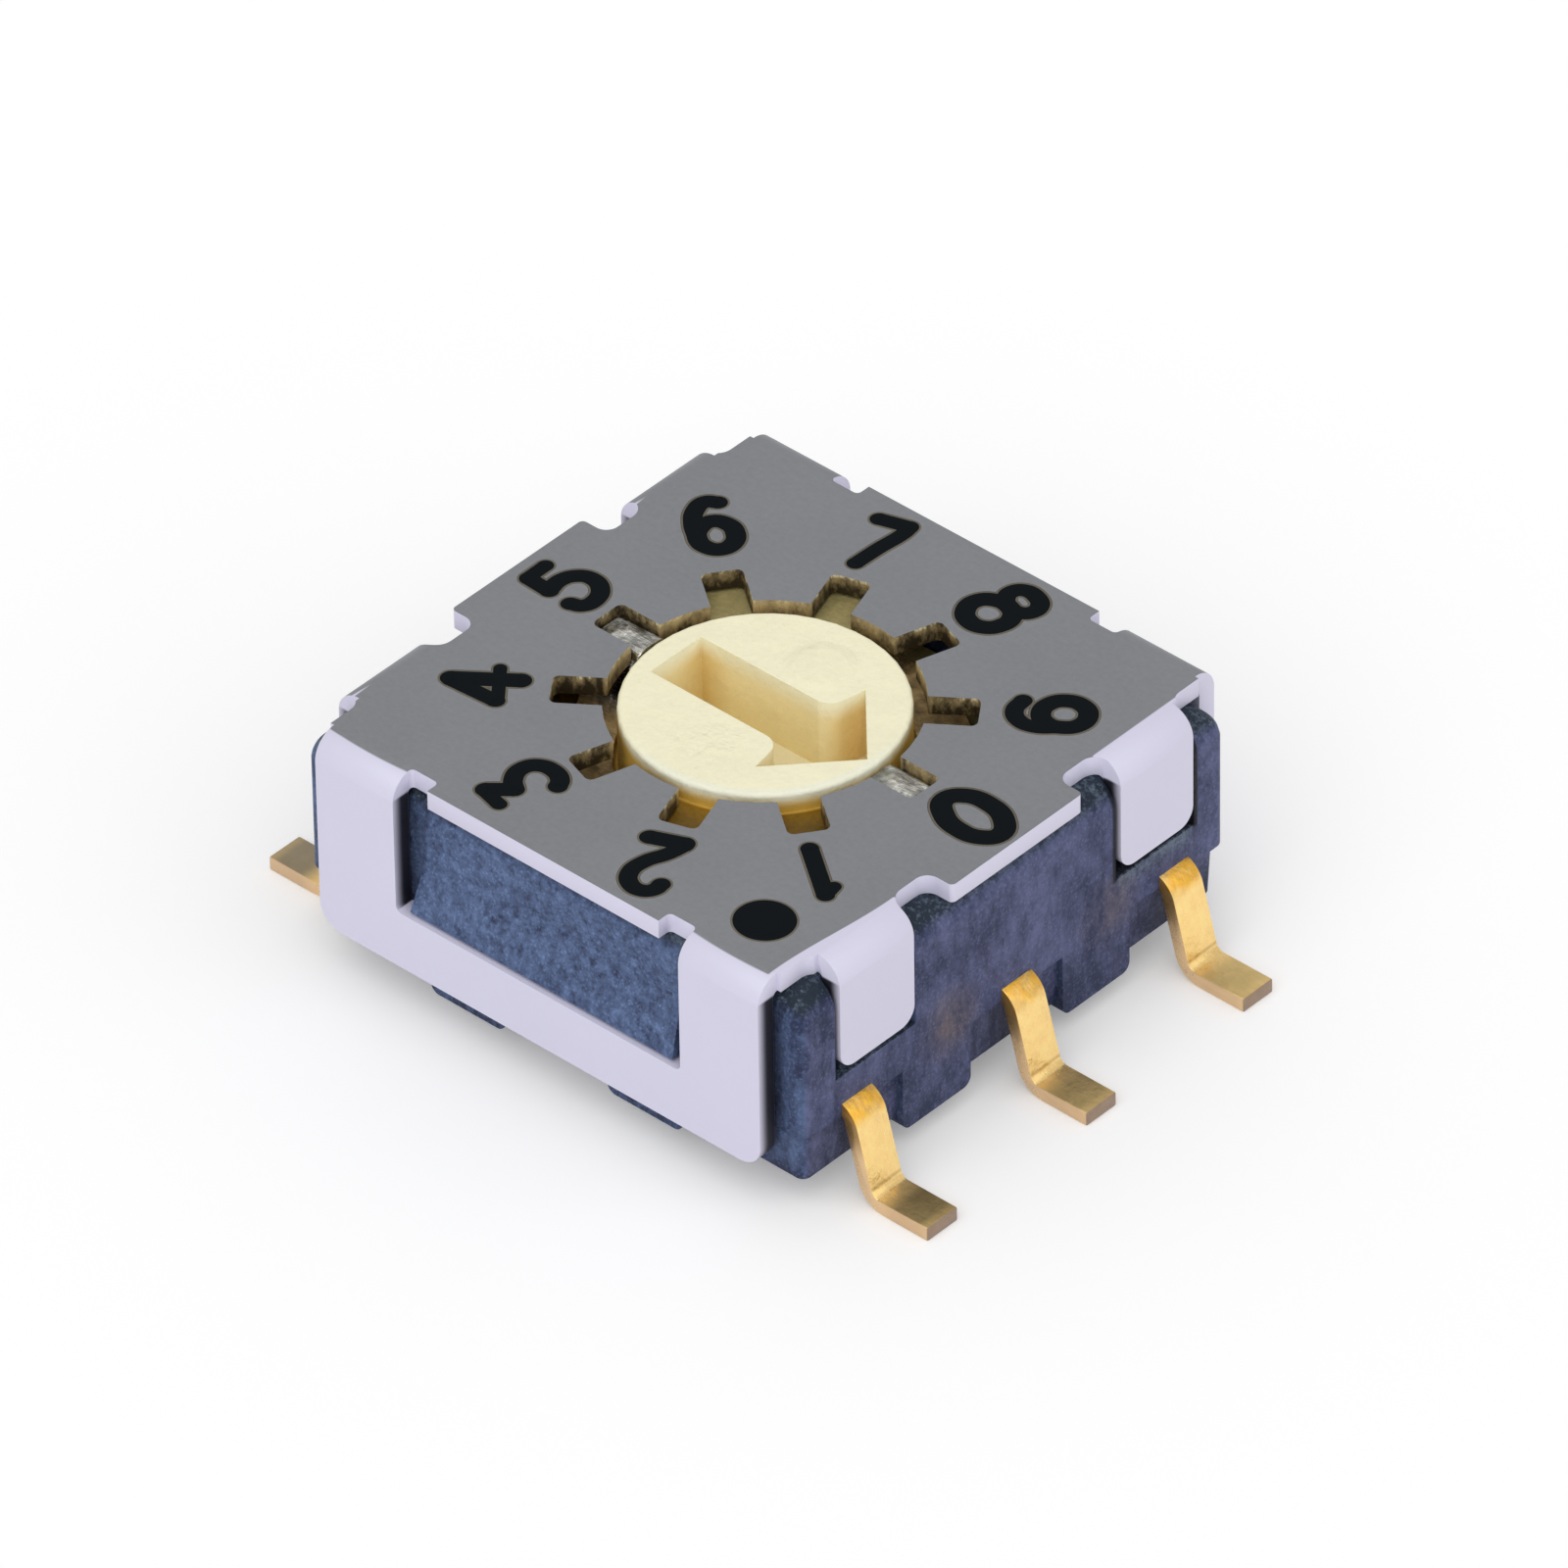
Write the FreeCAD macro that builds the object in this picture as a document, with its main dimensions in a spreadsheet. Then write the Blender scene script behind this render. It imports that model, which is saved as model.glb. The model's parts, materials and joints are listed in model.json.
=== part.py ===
"""Ten-position rotary code switch for surface mounting.

A folded sheet cover snaps over a moulded base. Between them turns a rotor with
an arrow-shaped driver recess. A humped ring on the rotor drops into one of ten
slots round the cover's hole at each position, and a leaf contact under the
rotor sweeps the flat ends of five terminals set flush into the base's floor.

Frame: millimetres, +Z up, origin at the bottom centre, on the plane that the
six solder feet stand on. X runs across the two rows of leads, Y along them.
"""
import FreeCAD, Part
import os
import Sketcher

# Driving dimensions, in millimetres unless a note says degrees or a count
DIMENSIONS = {
    # Leads and solder feet
    "lead_pitch": 2.54,  # spacing of the leads along each row
    "lead_wide": 0.48,  # width of a lead
    "lead_thick": 0.18,  # thickness of the lead strip
    "lead_out": 0.14,  # level run of a lead outside the base
    "lead_slant": 0.29,  # outward run of a lead's slope down to its foot
    "foot_long": 0.77,  # length of a solder foot
    "root_deep": 0.57,  # depth in the base where a lead meets its flat inner strip
    "lead_bend": 0.1,  # inner bend radius of a lead
    "lead_bend_outer": 0.36,  # outer bend radius of a lead

    # Moulded base
    "body_long": 7.14,  # base across the rows of leads
    "body_deep": 6.76,  # base along the rows of leads
    "parting_height": 1.08,  # mould parting line, at the underside of the leads
    "body_bottom": 0.42,  # underside of the base above the board
    "lower_inset": 0.07,  # how far the lower half is set in from the upper
    "lower_draft": 3,  # draft of the lower half in degrees
    "corner_round": 0.14,  # rounding of the upright corners
    "top_round": 0.36,  # rounding of the upper edges
    "stand_bottom": 0.26,  # underside of the stand-off pads above the board
    "stand_long": 1.08,  # length of a stand-off pad along its side
    "stand_deep": 0.8,  # depth of a stand-off pad from its side
    "stand_place": 1.28,  # middle of a stand-off pad from the middle of its side
    "stand_round": 0.12,  # rounding of the lower ends of a stand-off pad
    "well_gap": 0.15,  # gap round the rotor's flange in the well
    "bore_deep": 0.51,  # depth of the journal's bore below the well's floor

    # Folded cover
    "cover_height": 3.15,  # top of the switch above the board
    "sheet_thick": 0.24,  # thickness of the cover's sheet
    "bend_inner": 0.07,  # inner radius of the folds
    "edge_relief": 0.06,  # plate's edge beside the tabs, behind the start of the folds
    "tongue_gap": 0.61,  # gap between the flat tongue and a tab
    "tab_wide": 1.17,  # width of a folded tab
    "tab_corner": 1.145,  # middle of a tab from the base's nearest corner
    "tab_long": 1.44,  # lower edge of the tabs below the cover's top
    "tab_round": 0.22,  # corner radius of the tabs
    "relief_round": 0.2,  # radius in the corners where a tab leaves the plate
    "tongue_round": 0.16,  # radius in the corners where the tongue leaves the plate
    "tongue_corner": 0.06,  # rounding of the tongue's own corners
    "skirt_gap": 0.02,  # gap between a skirt and the base
    "skirt_setback": 0.39,  # side edge of a skirt from the base's nearest corner
    "skirt_long": 2.51,  # lower edge of the skirts below the cover's top
    "skirt_round": 0.3,  # corner radius of the skirts
    "skirt_leg": 1.13,  # width of a skirt's leg beside its window
    "skirt_bar": 0.75,  # height of the bar below the window
    "window_round": 0.08,  # lower corner radius of the window
    "lip_side_gap": 0.39,  # gap each side of the plate's lip over a window
    "lip_setback": 0.13,  # edge of that lip behind the skirt's face
    "lip_round": 0.06,  # radius in the corners beside that lip
    "hole_gap": 0.157,  # gap round the rotor's head in the cover's hole
    "slot_deep": 0.558,  # depth of a position slot from the edge of the hole
    "slot_wide": 0.47,  # width of a position slot
    "slot_round": 0.08,  # radius in the outer corners of a position slot
    "positions": 10,  # number of positions in a turn

    # Catches and recesses of the base that hold the cover
    "catch_side_gap": 0.16,  # gap each side of a catch in its window
    "catch_side_lean": 0.16,  # how far a catch's sides lean in towards the cover's top
    "catch_under_gap": 0.04,  # gap between a catch and the bar below it
    "catch_inset": 0.05,  # nose of a catch behind the skirt's face
    "catch_top_drop": 0.15,  # top of a catch below the cover's plate
    "tab_seat": 0.24,  # depth of a tab's recess in the base
    "tab_side_gap": 0.05,  # gap each side of a tab in its recess
    "tab_back_gap": 0.03,  # gap behind a tab
    "tab_under_gap": 0.1,  # gap under a tab

    # Rotor
    "knob_wide": 3.17,  # diameter of the rotor's head in the cover's hole
    "knob_drop": 0.03,  # head below the top of the cover
    "knob_round": 0.05,  # rounding of the head's rim
    "flange_wide": 5.2,  # diameter of the flange under the cover
    "leaf_room": 0.52,  # space for the moving contact under the flange
    "flange_thick": 0.55,  # thickness of the flange
    "lobe_gap": 0.04,  # running gap between the lobes and the cover
    "lobe_spread": 66,  # angle that a lobe covers
    "lobe_bearing": -54,  # direction of the first lobe
    "hub_step": 0.18,  # hub's radius over the journal's
    "hub_gap": 0.02,  # running gap between the hub and the floor
    "journal_wide": 1.54,  # diameter of the journal
    "journal_gap": 0.03,  # radial running gap of the journal
    "journal_end_gap": 0.08,  # gap under the journal
    "arrow_tail_wall": 0.295,  # head's wall at the tail end of the arrow recess
    "arrow_tip_wall": 0.12,  # head's wall at the point of the arrow recess
    "arrow_neck": 0.57,  # centre to where the shaft meets the arrow's head
    "arrow_sweep": 0.08,  # how far the barbs' tips lie ahead of the neck
    "arrow_shaft": 0.8,  # width of the arrow's shaft
    "arrow_head": 1.76,  # width of the arrow's head
    "arrow_deep": 0.9,  # depth of the arrow recess
    "arrow_round": 0.22,  # radius where the arrow's shaft meets its head

    # Detent ring
    "spring_thick": 0.08,  # thickness of the detent ring
    "spring_wide": 0.6,  # radial width of the detent ring
    "spring_gap": 0.06,  # gap between the rotor's head and the ring
    "hump_drop": 0.09,  # crest of a hump below the top of the cover
    "hump_crest": 0.12,  # half width of a hump at its crest
    "hump_foot": 0.6,  # half width of a hump at its foot
    "hump_round": 0.1,  # rounding of a hump's crest

    # Moving contact and the terminals' flat ends
    "leaf_thick": 0.08,  # thickness of the moving contact
    "leaf_wide": 0.5,  # width of its two arms
    "leaf_disc": 3.0,  # diameter of the disc between the arms
    "leaf_gap": 0.03,  # gap between the contact points and the floor
    "leaf_toe": 0.16,  # how far an arm runs on past its contact point
    "leaf_fold": 0.35,  # fold of the inner arm from the rim of the flange
    "ring_margin": 0.05,  # hub to the inner edge of the common ring
    "ring_band": 0.4,  # width of the common ring
    "pad_gap": 0.156,  # common ring to the near corner of a code end
    "pad_wide": 0.56,  # width of a code end
    "track_step": 0.55,  # common ring to the contact's track on the code ends
}

doc = FreeCAD.newDocument("rotary_switch")
sizes = doc.addObject("Spreadsheet::Sheet", "sizes")
for row, (alias, number) in enumerate(DIMENSIONS.items(), 1):
    sizes.set(f"A{row}", alias.replace("_", " "))
    sizes.set(f"B{row}", str(number))
    sizes.setAlias(f"B{row}", alias)
doc.recompute()


def value(formula):
    """Number that a formula gives with the sheet's present sizes."""
    result = sizes.evalExpression(formula)
    return float(getattr(result, "Value", result))


def sketch_on(body, name, plane, height=None, turn=None):
    """Empty sketch on one of the body's own origin planes."""
    sketch = body.newObject("Sketcher::SketchObject", name)
    support = [item for item in body.Origin.OriginFeatures if item.Role == plane]
    sketch.AttachmentSupport = (support[0], "")
    sketch.MapMode = "FlatFace"
    if height:
        sketch.setExpression("AttachmentOffset.Base.z", height)
    if turn:
        upright = FreeCAD.Vector(0, 1, 0)
        sketch.AttachmentOffset = FreeCAD.Placement(
            FreeCAD.Vector(), FreeCAD.Rotation(upright, value(turn)))
        sketch.setExpression("AttachmentOffset.Rotation.Angle", turn)
    return sketch


def bind(sketch, kind, geometry, point, formula):
    """Tie one coordinate of a sketch point to a formula."""
    rule = Sketcher.Constraint(kind, -1, 1, geometry, point, value(formula))
    sketch.setExpression(f"Constraints[{sketch.addConstraint(rule)}]", formula)


def toward(corner, other, radius):
    """Formulas of the point that lies a radius from a corner on its side to another."""
    place = []
    for start, stop in zip(corner, other):
        run = value(stop) - value(start)
        sign = 0 if abs(run) < 1e-6 else round(run / abs(run))
        place.append(f"{start} + {sign} * {radius}")
    return tuple(place)


def point(place):
    """Sketch point of a pair of formulas."""
    return FreeCAD.Vector(value(place[0]), value(place[1]), 0)


def draw_loop(sketch, corners, radius=None, rounded=()):
    """Closed straight-sided loop; each corner is a pair of formulas.

    The corners whose places in the list are given as rounded get the radius.
    They are square ones, with sides along the sketch's axes.
    """
    count = len(corners)
    first = sketch.GeometryCount
    enter = list(corners)
    leave = list(corners)
    for index in rounded:
        enter[index] = toward(corners[index], corners[index - 1], radius)
        leave[index] = toward(corners[index], corners[(index + 1) % count], radius)
    for index in range(count):
        sketch.addGeometry(Part.LineSegment(point(leave[index]), point(enter[(index + 1) % count])))
    for index in range(count):
        bind(sketch, "DistanceX", first + index, 1, leave[index][0])
        bind(sketch, "DistanceY", first + index, 1, leave[index][1])
        before = first + (index - 1) % count
        if index not in rounded:
            sketch.addConstraint(Sketcher.Constraint("Coincident", before, 2, first + index, 1))
            continue
        bind(sketch, "DistanceX", before, 2, enter[index][0])
        bind(sketch, "DistanceY", before, 2, enter[index][1])
        start, corner, stop = point(enter[index]), point(corners[index]), point(leave[index])
        centre = start + stop - corner
        middle = centre + (corner - centre).normalize() * value(radius)
        arc = sketch.addGeometry(Part.Arc(start, middle, stop))
        begins = 1 if sketch.getPoint(arc, 1).isEqual(start, 1e-6) else 2
        sketch.addConstraint(Sketcher.Constraint("Coincident", arc, begins, before, 2))
        sketch.addConstraint(Sketcher.Constraint("Coincident", arc, 3 - begins, first + index, 1))
        rule = Sketcher.Constraint("Radius", arc, value(radius))
        sketch.setExpression(f"Constraints[{sketch.addConstraint(rule)}]", radius)


def draw_box(sketch, left, right, low, high, radius=None, rounded=()):
    """Closed rectangle between four formulas, from its first corner round to its last."""
    draw_loop(sketch, [(left, low), (right, low), (right, high), (left, high)], radius, rounded)


def draw_circle(sketch, radius):
    """Circle about the sketch's origin."""
    circle = Part.Circle(FreeCAD.Vector(), FreeCAD.Vector(0, 0, 1), value(radius))
    index = sketch.addGeometry(circle)
    sketch.addConstraint(Sketcher.Constraint("Coincident", index, 3, -1, 1))
    rule = Sketcher.Constraint("Radius", index, value(radius))
    sketch.setExpression(f"Constraints[{sketch.addConstraint(rule)}]", radius)


def solid_volume(body):
    """Volume of the body so far, or nothing before its first feature."""
    doc.recompute()
    return 0.0 if body.Tip is None else body.Shape.Volume


def pad(body, sketch, length, symmetric=False, downward=False, draft=None):
    """Raise a sketch into the body, and make sure that it added material."""
    before = solid_volume(body)
    raised = body.newObject("PartDesign::Pad", sketch.Name + "_pad")
    raised.Profile = sketch
    raised.SideType = "Symmetric" if symmetric else "One side"
    raised.Reversed = downward
    raised.setExpression("Length", length)
    if draft:
        raised.setExpression("TaperAngle", draft)
    sketch.Visibility = False
    if solid_volume(body) <= before:
        raise ValueError(f"{raised.Name} added nothing")
    return raised


def pocket(body, sketch, depth, upward=False):
    """Cut a sketch out of the body, and make sure that it took material."""
    before = solid_volume(body)
    sunk = body.newObject("PartDesign::Pocket", sketch.Name + "_cut")
    sunk.Profile = sketch
    sunk.Reversed = upward
    sunk.setExpression("Length", depth)
    sketch.Visibility = False
    if solid_volume(body) >= before:
        raise ValueError(f"{sunk.Name} cut nothing")
    return sunk


def revolve(body, sketch, angle="360"):
    """Turn a sketch about the body's upright axis."""
    before = solid_volume(body)
    turned = body.newObject("PartDesign::Revolution", sketch.Name + "_turn")
    turned.Profile = sketch
    turned.ReferenceAxis = (sketch, ["V_Axis"])
    turned.Midplane = True
    turned.setExpression("Angle", angle)
    sketch.Visibility = False
    if solid_volume(body) <= before:
        raise ValueError(f"{turned.Name} added nothing")
    return turned


def mirror(body, originals, plane):
    """Repeat features on the other side of one of the body's planes."""
    twin = body.newObject("PartDesign::Mirrored", originals[0].Name + "_twin")
    support = [item for item in body.Origin.OriginFeatures if item.Role == plane]
    twin.Originals = originals
    twin.MirrorPlane = (support[0], [""])
    body.Tip = twin
    doc.recompute()
    return twin


def repeat_round(body, original, count):
    """Repeat a feature evenly about the upright axis."""
    ring = body.newObject("PartDesign::PolarPattern", original.Name + "_ring")
    support = [item for item in body.Origin.OriginFeatures if item.Role == "Z_Axis"]
    ring.Originals = [original]
    ring.Axis = (support[0], [""])
    ring.Angle = 360
    ring.setExpression("Occurrences", count)
    body.Tip = ring
    doc.recompute()
    return ring


def straight_edges(shape, direction, **places):
    """Names of straight edges along a direction whose middles lie at the places.

    A place is a formula for the distance of the middle from the origin along
    that axis, so that the edges of both or all four sides are found at once.
    """
    wanted = {axis: abs(value(formula)) for axis, formula in places.items()}
    names = []
    for number, edge in enumerate(shape.Edges, 1):
        if edge.Degenerated or edge.Curve.TypeId != "Part::GeomLine":
            continue
        if abs(abs(edge.tangentAt(edge.FirstParameter).dot(direction)) - 1) > 1e-4:
            continue
        middle = edge.CenterOfMass
        if all(abs(abs(getattr(middle, axis)) - spot) < 1e-3 for axis, spot in wanted.items()):
            names.append(f"Edge{number}")
    return names


def round_edges(body, name, radius, edges):
    """Round the named edges of the body's tip."""
    if not edges:
        raise ValueError(f"{name} found no edges")
    rounded = body.newObject("PartDesign::Fillet", name)
    rounded.Base = (rounded.BaseFeature, edges)
    rounded.setExpression("Radius", radius)
    doc.recompute()
    return rounded


ALONG_X = FreeCAD.Vector(1, 0, 0)
ALONG_Y = FreeCAD.Vector(0, 1, 0)
ALONG_Z = FreeCAD.Vector(0, 0, 1)

# Heights and places that several pieces share
PLATE_UNDER = "(sizes.cover_height - sizes.sheet_thick)"
FLOOR = "(sizes.parting_height + sizes.lead_thick)"
BORE_FLOOR = f"({FLOOR} - sizes.bore_deep)"
FLANGE_UNDER = f"({FLOOR} + sizes.leaf_room)"
DECK = f"({FLANGE_UNDER} + sizes.flange_thick)"
BODY_SIDE = "(sizes.body_long / 2)"
BODY_END = "(sizes.body_deep / 2)"
BEND_OUTER = "(sizes.bend_inner + sizes.sheet_thick)"
TAB_SEAT = f"({BODY_SIDE} - sizes.tab_seat)"
TAB_FACE = f"({TAB_SEAT} + sizes.tab_back_gap + sizes.sheet_thick)"
TAB_MIDDLE = f"({BODY_END} - sizes.tab_corner)"
TAB_BOTTOM = "(sizes.cover_height - sizes.tab_long)"
SKIRT_FACE = f"({BODY_END} + sizes.skirt_gap + sizes.sheet_thick)"
SKIRT_HALF = f"({BODY_SIDE} - sizes.skirt_setback)"
SKIRT_BOTTOM = "(sizes.cover_height - sizes.skirt_long)"
WINDOW_HALF = f"({SKIRT_HALF} - sizes.skirt_leg)"
WINDOW_BOTTOM = f"({SKIRT_BOTTOM} + sizes.skirt_bar)"
HEAD = "(sizes.knob_wide / 2)"
HEAD_TOP = "(sizes.cover_height - sizes.knob_drop)"
FLANGE = "(sizes.flange_wide / 2)"
SPRING_IN = f"({HEAD} + sizes.spring_gap)"
SPRING_OUT = f"({SPRING_IN} + sizes.spring_wide)"
HUB = "(sizes.journal_wide / 2 + sizes.hub_step)"
RING_IN = f"({HUB} + sizes.ring_margin)"
RING_OUT = f"({RING_IN} + sizes.ring_band)"
TRACK_IN = f"({RING_IN} + sizes.ring_band / 2)"
TRACK_OUT = f"({RING_OUT} + sizes.track_step)"
LEAD_ROOT = f"({BODY_SIDE} - sizes.root_deep)"
LEAD_KNEE = f"({BODY_SIDE} + sizes.lead_out)"
LEAD_HEEL = f"({LEAD_KNEE} + sizes.lead_slant)"
LEAD_TIP = f"({LEAD_HEEL} + sizes.foot_long)"
LEAN = "(sizes.lead_slant / sizes.parting_height)"
SLANT_THICK = f"(sizes.lead_thick * sqrt(1 + {LEAN} * {LEAN}))"
LEAD_KNEE_UNDER = f"({LEAD_KNEE} + sizes.lead_thick * {LEAN} - {SLANT_THICK})"
LEAD_HEEL_UNDER = f"({LEAD_HEEL} + sizes.lead_thick * {LEAN} - {SLANT_THICK})"


def make_cover():
    """Cover: a plate with a slotted hole, two windowed skirts and four tabs."""
    body = doc.addObject("PartDesign::Body", "cover")
    body.Label = "cover"
    skirt_in = f"({SKIRT_FACE} - {BEND_OUTER})"
    tab_in = f"({TAB_FACE} - {BEND_OUTER})"

    plate = sketch_on(body, "plate", "XY_Plane", PLATE_UNDER)
    draw_box(plate, f"-{tab_in}", tab_in, f"-{skirt_in}", skirt_in)
    pad(body, plate, "sizes.sheet_thick")

    skirts = sketch_on(body, "skirts", "YZ_Plane")
    tabs = sketch_on(body, "tabs", "XZ_Plane")
    for sketch, reach, start, low in (
            (skirts, SKIRT_FACE, skirt_in, SKIRT_BOTTOM),
            (tabs, TAB_FACE, tab_in, TAB_BOTTOM)):
        for side in ("1", "-1"):
            draw_loop(sketch, [
                (f"{side} * {start}", PLATE_UNDER),
                (f"{side} * ({reach} - sizes.sheet_thick)", PLATE_UNDER),
                (f"{side} * ({reach} - sizes.sheet_thick)", low),
                (f"{side} * {reach}", low),
                (f"{side} * {reach}", "sizes.cover_height"),
                (f"{side} * {start}", "sizes.cover_height")])
    pad(body, skirts, f"2 * {SKIRT_HALF}", symmetric=True)
    pad(body, tabs, f"2 * {TAB_MIDDLE} + sizes.tab_wide", symmetric=True)

    shape = body.Shape
    outer = straight_edges(shape, ALONG_X, y=SKIRT_FACE, z="sizes.cover_height")
    outer += straight_edges(shape, ALONG_Y, x=TAB_FACE, z="sizes.cover_height")
    round_edges(body, "outer_folds", BEND_OUTER, outer)
    shape = body.Shape
    inner = straight_edges(shape, ALONG_X, y=f"{SKIRT_FACE} - sizes.sheet_thick", z=PLATE_UNDER)
    inner += straight_edges(shape, ALONG_Y, x=f"{TAB_FACE} - sizes.sheet_thick", z=PLATE_UNDER)
    round_edges(body, "inner_folds", "sizes.bend_inner", inner)

    # What is left between the tabs is cleared, then the flat tongue is added
    between = sketch_on(body, "between_tabs", "XY_Plane", "sizes.cover_height")
    plate_edge = f"({tab_in} - sizes.edge_relief)"
    inner_tab_edge = f"({TAB_MIDDLE} - sizes.tab_wide / 2)"
    outer_tab_edge = f"({TAB_MIDDLE} + sizes.tab_wide / 2)"
    for side in ("1", "-1"):
        draw_box(between, f"{side} * {plate_edge}", f"{side} * 2 * {TAB_FACE}",
                 f"-{inner_tab_edge}", inner_tab_edge, "sizes.relief_round", (0, 3))
    pocket(body, between, "sizes.cover_height")
    tongue = sketch_on(body, "tongue", "XY_Plane", PLATE_UNDER)
    tongue_half = f"({inner_tab_edge} - sizes.tongue_gap)"
    draw_box(tongue, f"-{TAB_FACE}", TAB_FACE, f"-{tongue_half}", tongue_half)
    pad(body, tongue, "sizes.sheet_thick")
    tongue_roots = straight_edges(body.Shape, ALONG_Z, x=plate_edge, y=tongue_half)
    round_edges(body, "tongue_roots", "sizes.tongue_round", tongue_roots)
    tongue_corners = straight_edges(body.Shape, ALONG_Z, x=TAB_FACE, y=tongue_half)
    round_edges(body, "tongue_corners", "sizes.tongue_corner", tongue_corners)

    corners = sketch_on(body, "cut_corners", "XY_Plane", "sizes.cover_height")
    for side in ("1", "-1"):
        for end in ("1", "-1"):
            draw_box(corners, f"{side} * {plate_edge}", f"{side} * 2 * {TAB_FACE}",
                     f"{end} * {outer_tab_edge}", f"{end} * 2 * {SKIRT_FACE}",
                     "sizes.relief_round", (0,))
    pocket(body, corners, "sizes.cover_height")

    # The windows open the folds too; a lip of the plate then covers each one
    windows = sketch_on(body, "windows", "XY_Plane", "sizes.cover_height")
    for side in ("1", "-1"):
        draw_box(windows, f"-{WINDOW_HALF}", WINDOW_HALF, f"{side} * {skirt_in}",
                 f"{side} * 2 * {SKIRT_FACE}", "sizes.lip_round", (0, 1))
    pocket(body, windows, f"sizes.cover_height - {WINDOW_BOTTOM}")
    lips = sketch_on(body, "window_lips", "XY_Plane", PLATE_UNDER)
    lip_half = f"({WINDOW_HALF} - sizes.lip_side_gap)"
    lip_edge = f"({SKIRT_FACE} - sizes.lip_setback)"
    draw_box(lips, f"-{lip_half}", lip_half, f"-{lip_edge}", lip_edge)
    pad(body, lips, "sizes.sheet_thick")
    lip_roots = straight_edges(body.Shape, ALONG_Z, x=lip_half, y=skirt_in)
    round_edges(body, "lip_roots", "sizes.lip_round", lip_roots)

    shape = body.Shape
    skirt_corners = straight_edges(shape, ALONG_Y, x=SKIRT_HALF, z=SKIRT_BOTTOM)
    round_edges(body, "skirt_corners", "sizes.skirt_round", skirt_corners)
    shape = body.Shape
    window_corners = straight_edges(shape, ALONG_Y, x=WINDOW_HALF, z=WINDOW_BOTTOM)
    round_edges(body, "window_corners", "sizes.window_round", window_corners)
    shape = body.Shape
    tab_corners = straight_edges(shape, ALONG_X, y=inner_tab_edge, z=TAB_BOTTOM)
    tab_corners += straight_edges(shape, ALONG_X, y=outer_tab_edge, z=TAB_BOTTOM)
    round_edges(body, "tab_corners", "sizes.tab_round", tab_corners)

    hole_radius = f"({HEAD} + sizes.hole_gap)"
    hole = sketch_on(body, "rotor_hole", "XY_Plane", "sizes.cover_height")
    draw_circle(hole, hole_radius)
    pocket(body, hole, "sizes.sheet_thick")
    slot = sketch_on(body, "position_slot", "XY_Plane", "sizes.cover_height")
    draw_box(slot, f"{hole_radius} / 2", f"{hole_radius} + sizes.slot_deep",
             "-sizes.slot_wide / 2", "sizes.slot_wide / 2", "sizes.slot_round", (1, 2))
    slot_cut = pocket(body, slot, "sizes.sheet_thick")
    repeat_round(body, slot_cut, "sizes.positions")
    return body


def lead_profile(sketch, side):
    """Side view of one lead from its root in the base out to its foot."""
    draw_loop(sketch, [
        (f"{side} * {LEAD_ROOT}", "sizes.parting_height"),
        (f"{side} * {LEAD_KNEE_UNDER}", "sizes.parting_height"),
        (f"{side} * {LEAD_HEEL_UNDER}", "0"),
        (f"{side} * {LEAD_TIP}", "0"),
        (f"{side} * {LEAD_TIP}", "sizes.lead_thick"),
        (f"{side} * {LEAD_HEEL}", "sizes.lead_thick"),
        (f"{side} * {LEAD_KNEE}", FLOOR),
        (f"{side} * {LEAD_ROOT}", FLOOR)])


def round_lead(body):
    """Bend radii at the knee and the heel of each lead."""
    shape = body.Shape
    outer = straight_edges(shape, ALONG_Y, x=LEAD_KNEE, z=FLOOR)
    outer += straight_edges(shape, ALONG_Y, x=LEAD_HEEL_UNDER, z="0")
    round_edges(body, body.Name + "_outer_bends", "sizes.lead_bend_outer", outer)
    shape = body.Shape
    inner = straight_edges(shape, ALONG_Y, x=LEAD_HEEL, z="sizes.lead_thick")
    inner += straight_edges(shape, ALONG_Y, x=LEAD_KNEE_UNDER, z="sizes.parting_height")
    round_edges(body, body.Name + "_inner_bends", "sizes.lead_bend", inner)


def make_code_terminal(name, side, row):
    """Terminal of one code bit: a lead, and a flat end that the contact sweeps."""
    body = doc.addObject("PartDesign::Body", name)
    body.Label = name
    lead = sketch_on(body, name + "_lead", "XZ_Plane")
    lead_profile(lead, "1")
    pad(body, lead, "sizes.lead_wide", symmetric=True)
    inward = -row * side
    strip = sketch_on(body, name + "_strip", "XY_Plane", "sizes.parting_height")
    pad_near = f"(({RING_OUT} + sizes.pad_gap) / sqrt(2))"
    end = f"{inward} * (sizes.lead_pitch - {pad_near})"
    near = f"{inward} * sizes.lead_wide / 2"
    far = f"{-inward} * sizes.lead_wide / 2"
    draw_loop(strip, [
        (LEAD_ROOT, far),
        (LEAD_ROOT, near),
        (f"{pad_near} + sizes.pad_wide", near),
        (f"{pad_near} + sizes.pad_wide", end),
        (pad_near, end),
        (pad_near, far)])
    pad(body, strip, "sizes.lead_thick")
    round_lead(body)
    turn = 0 if side > 0 else 180
    body.Placement = FreeCAD.Placement(FreeCAD.Vector(), FreeCAD.Rotation(ALONG_Z, turn))
    body.setExpression("Placement.Base.y", f"{row} * sizes.lead_pitch")
    return body


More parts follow.
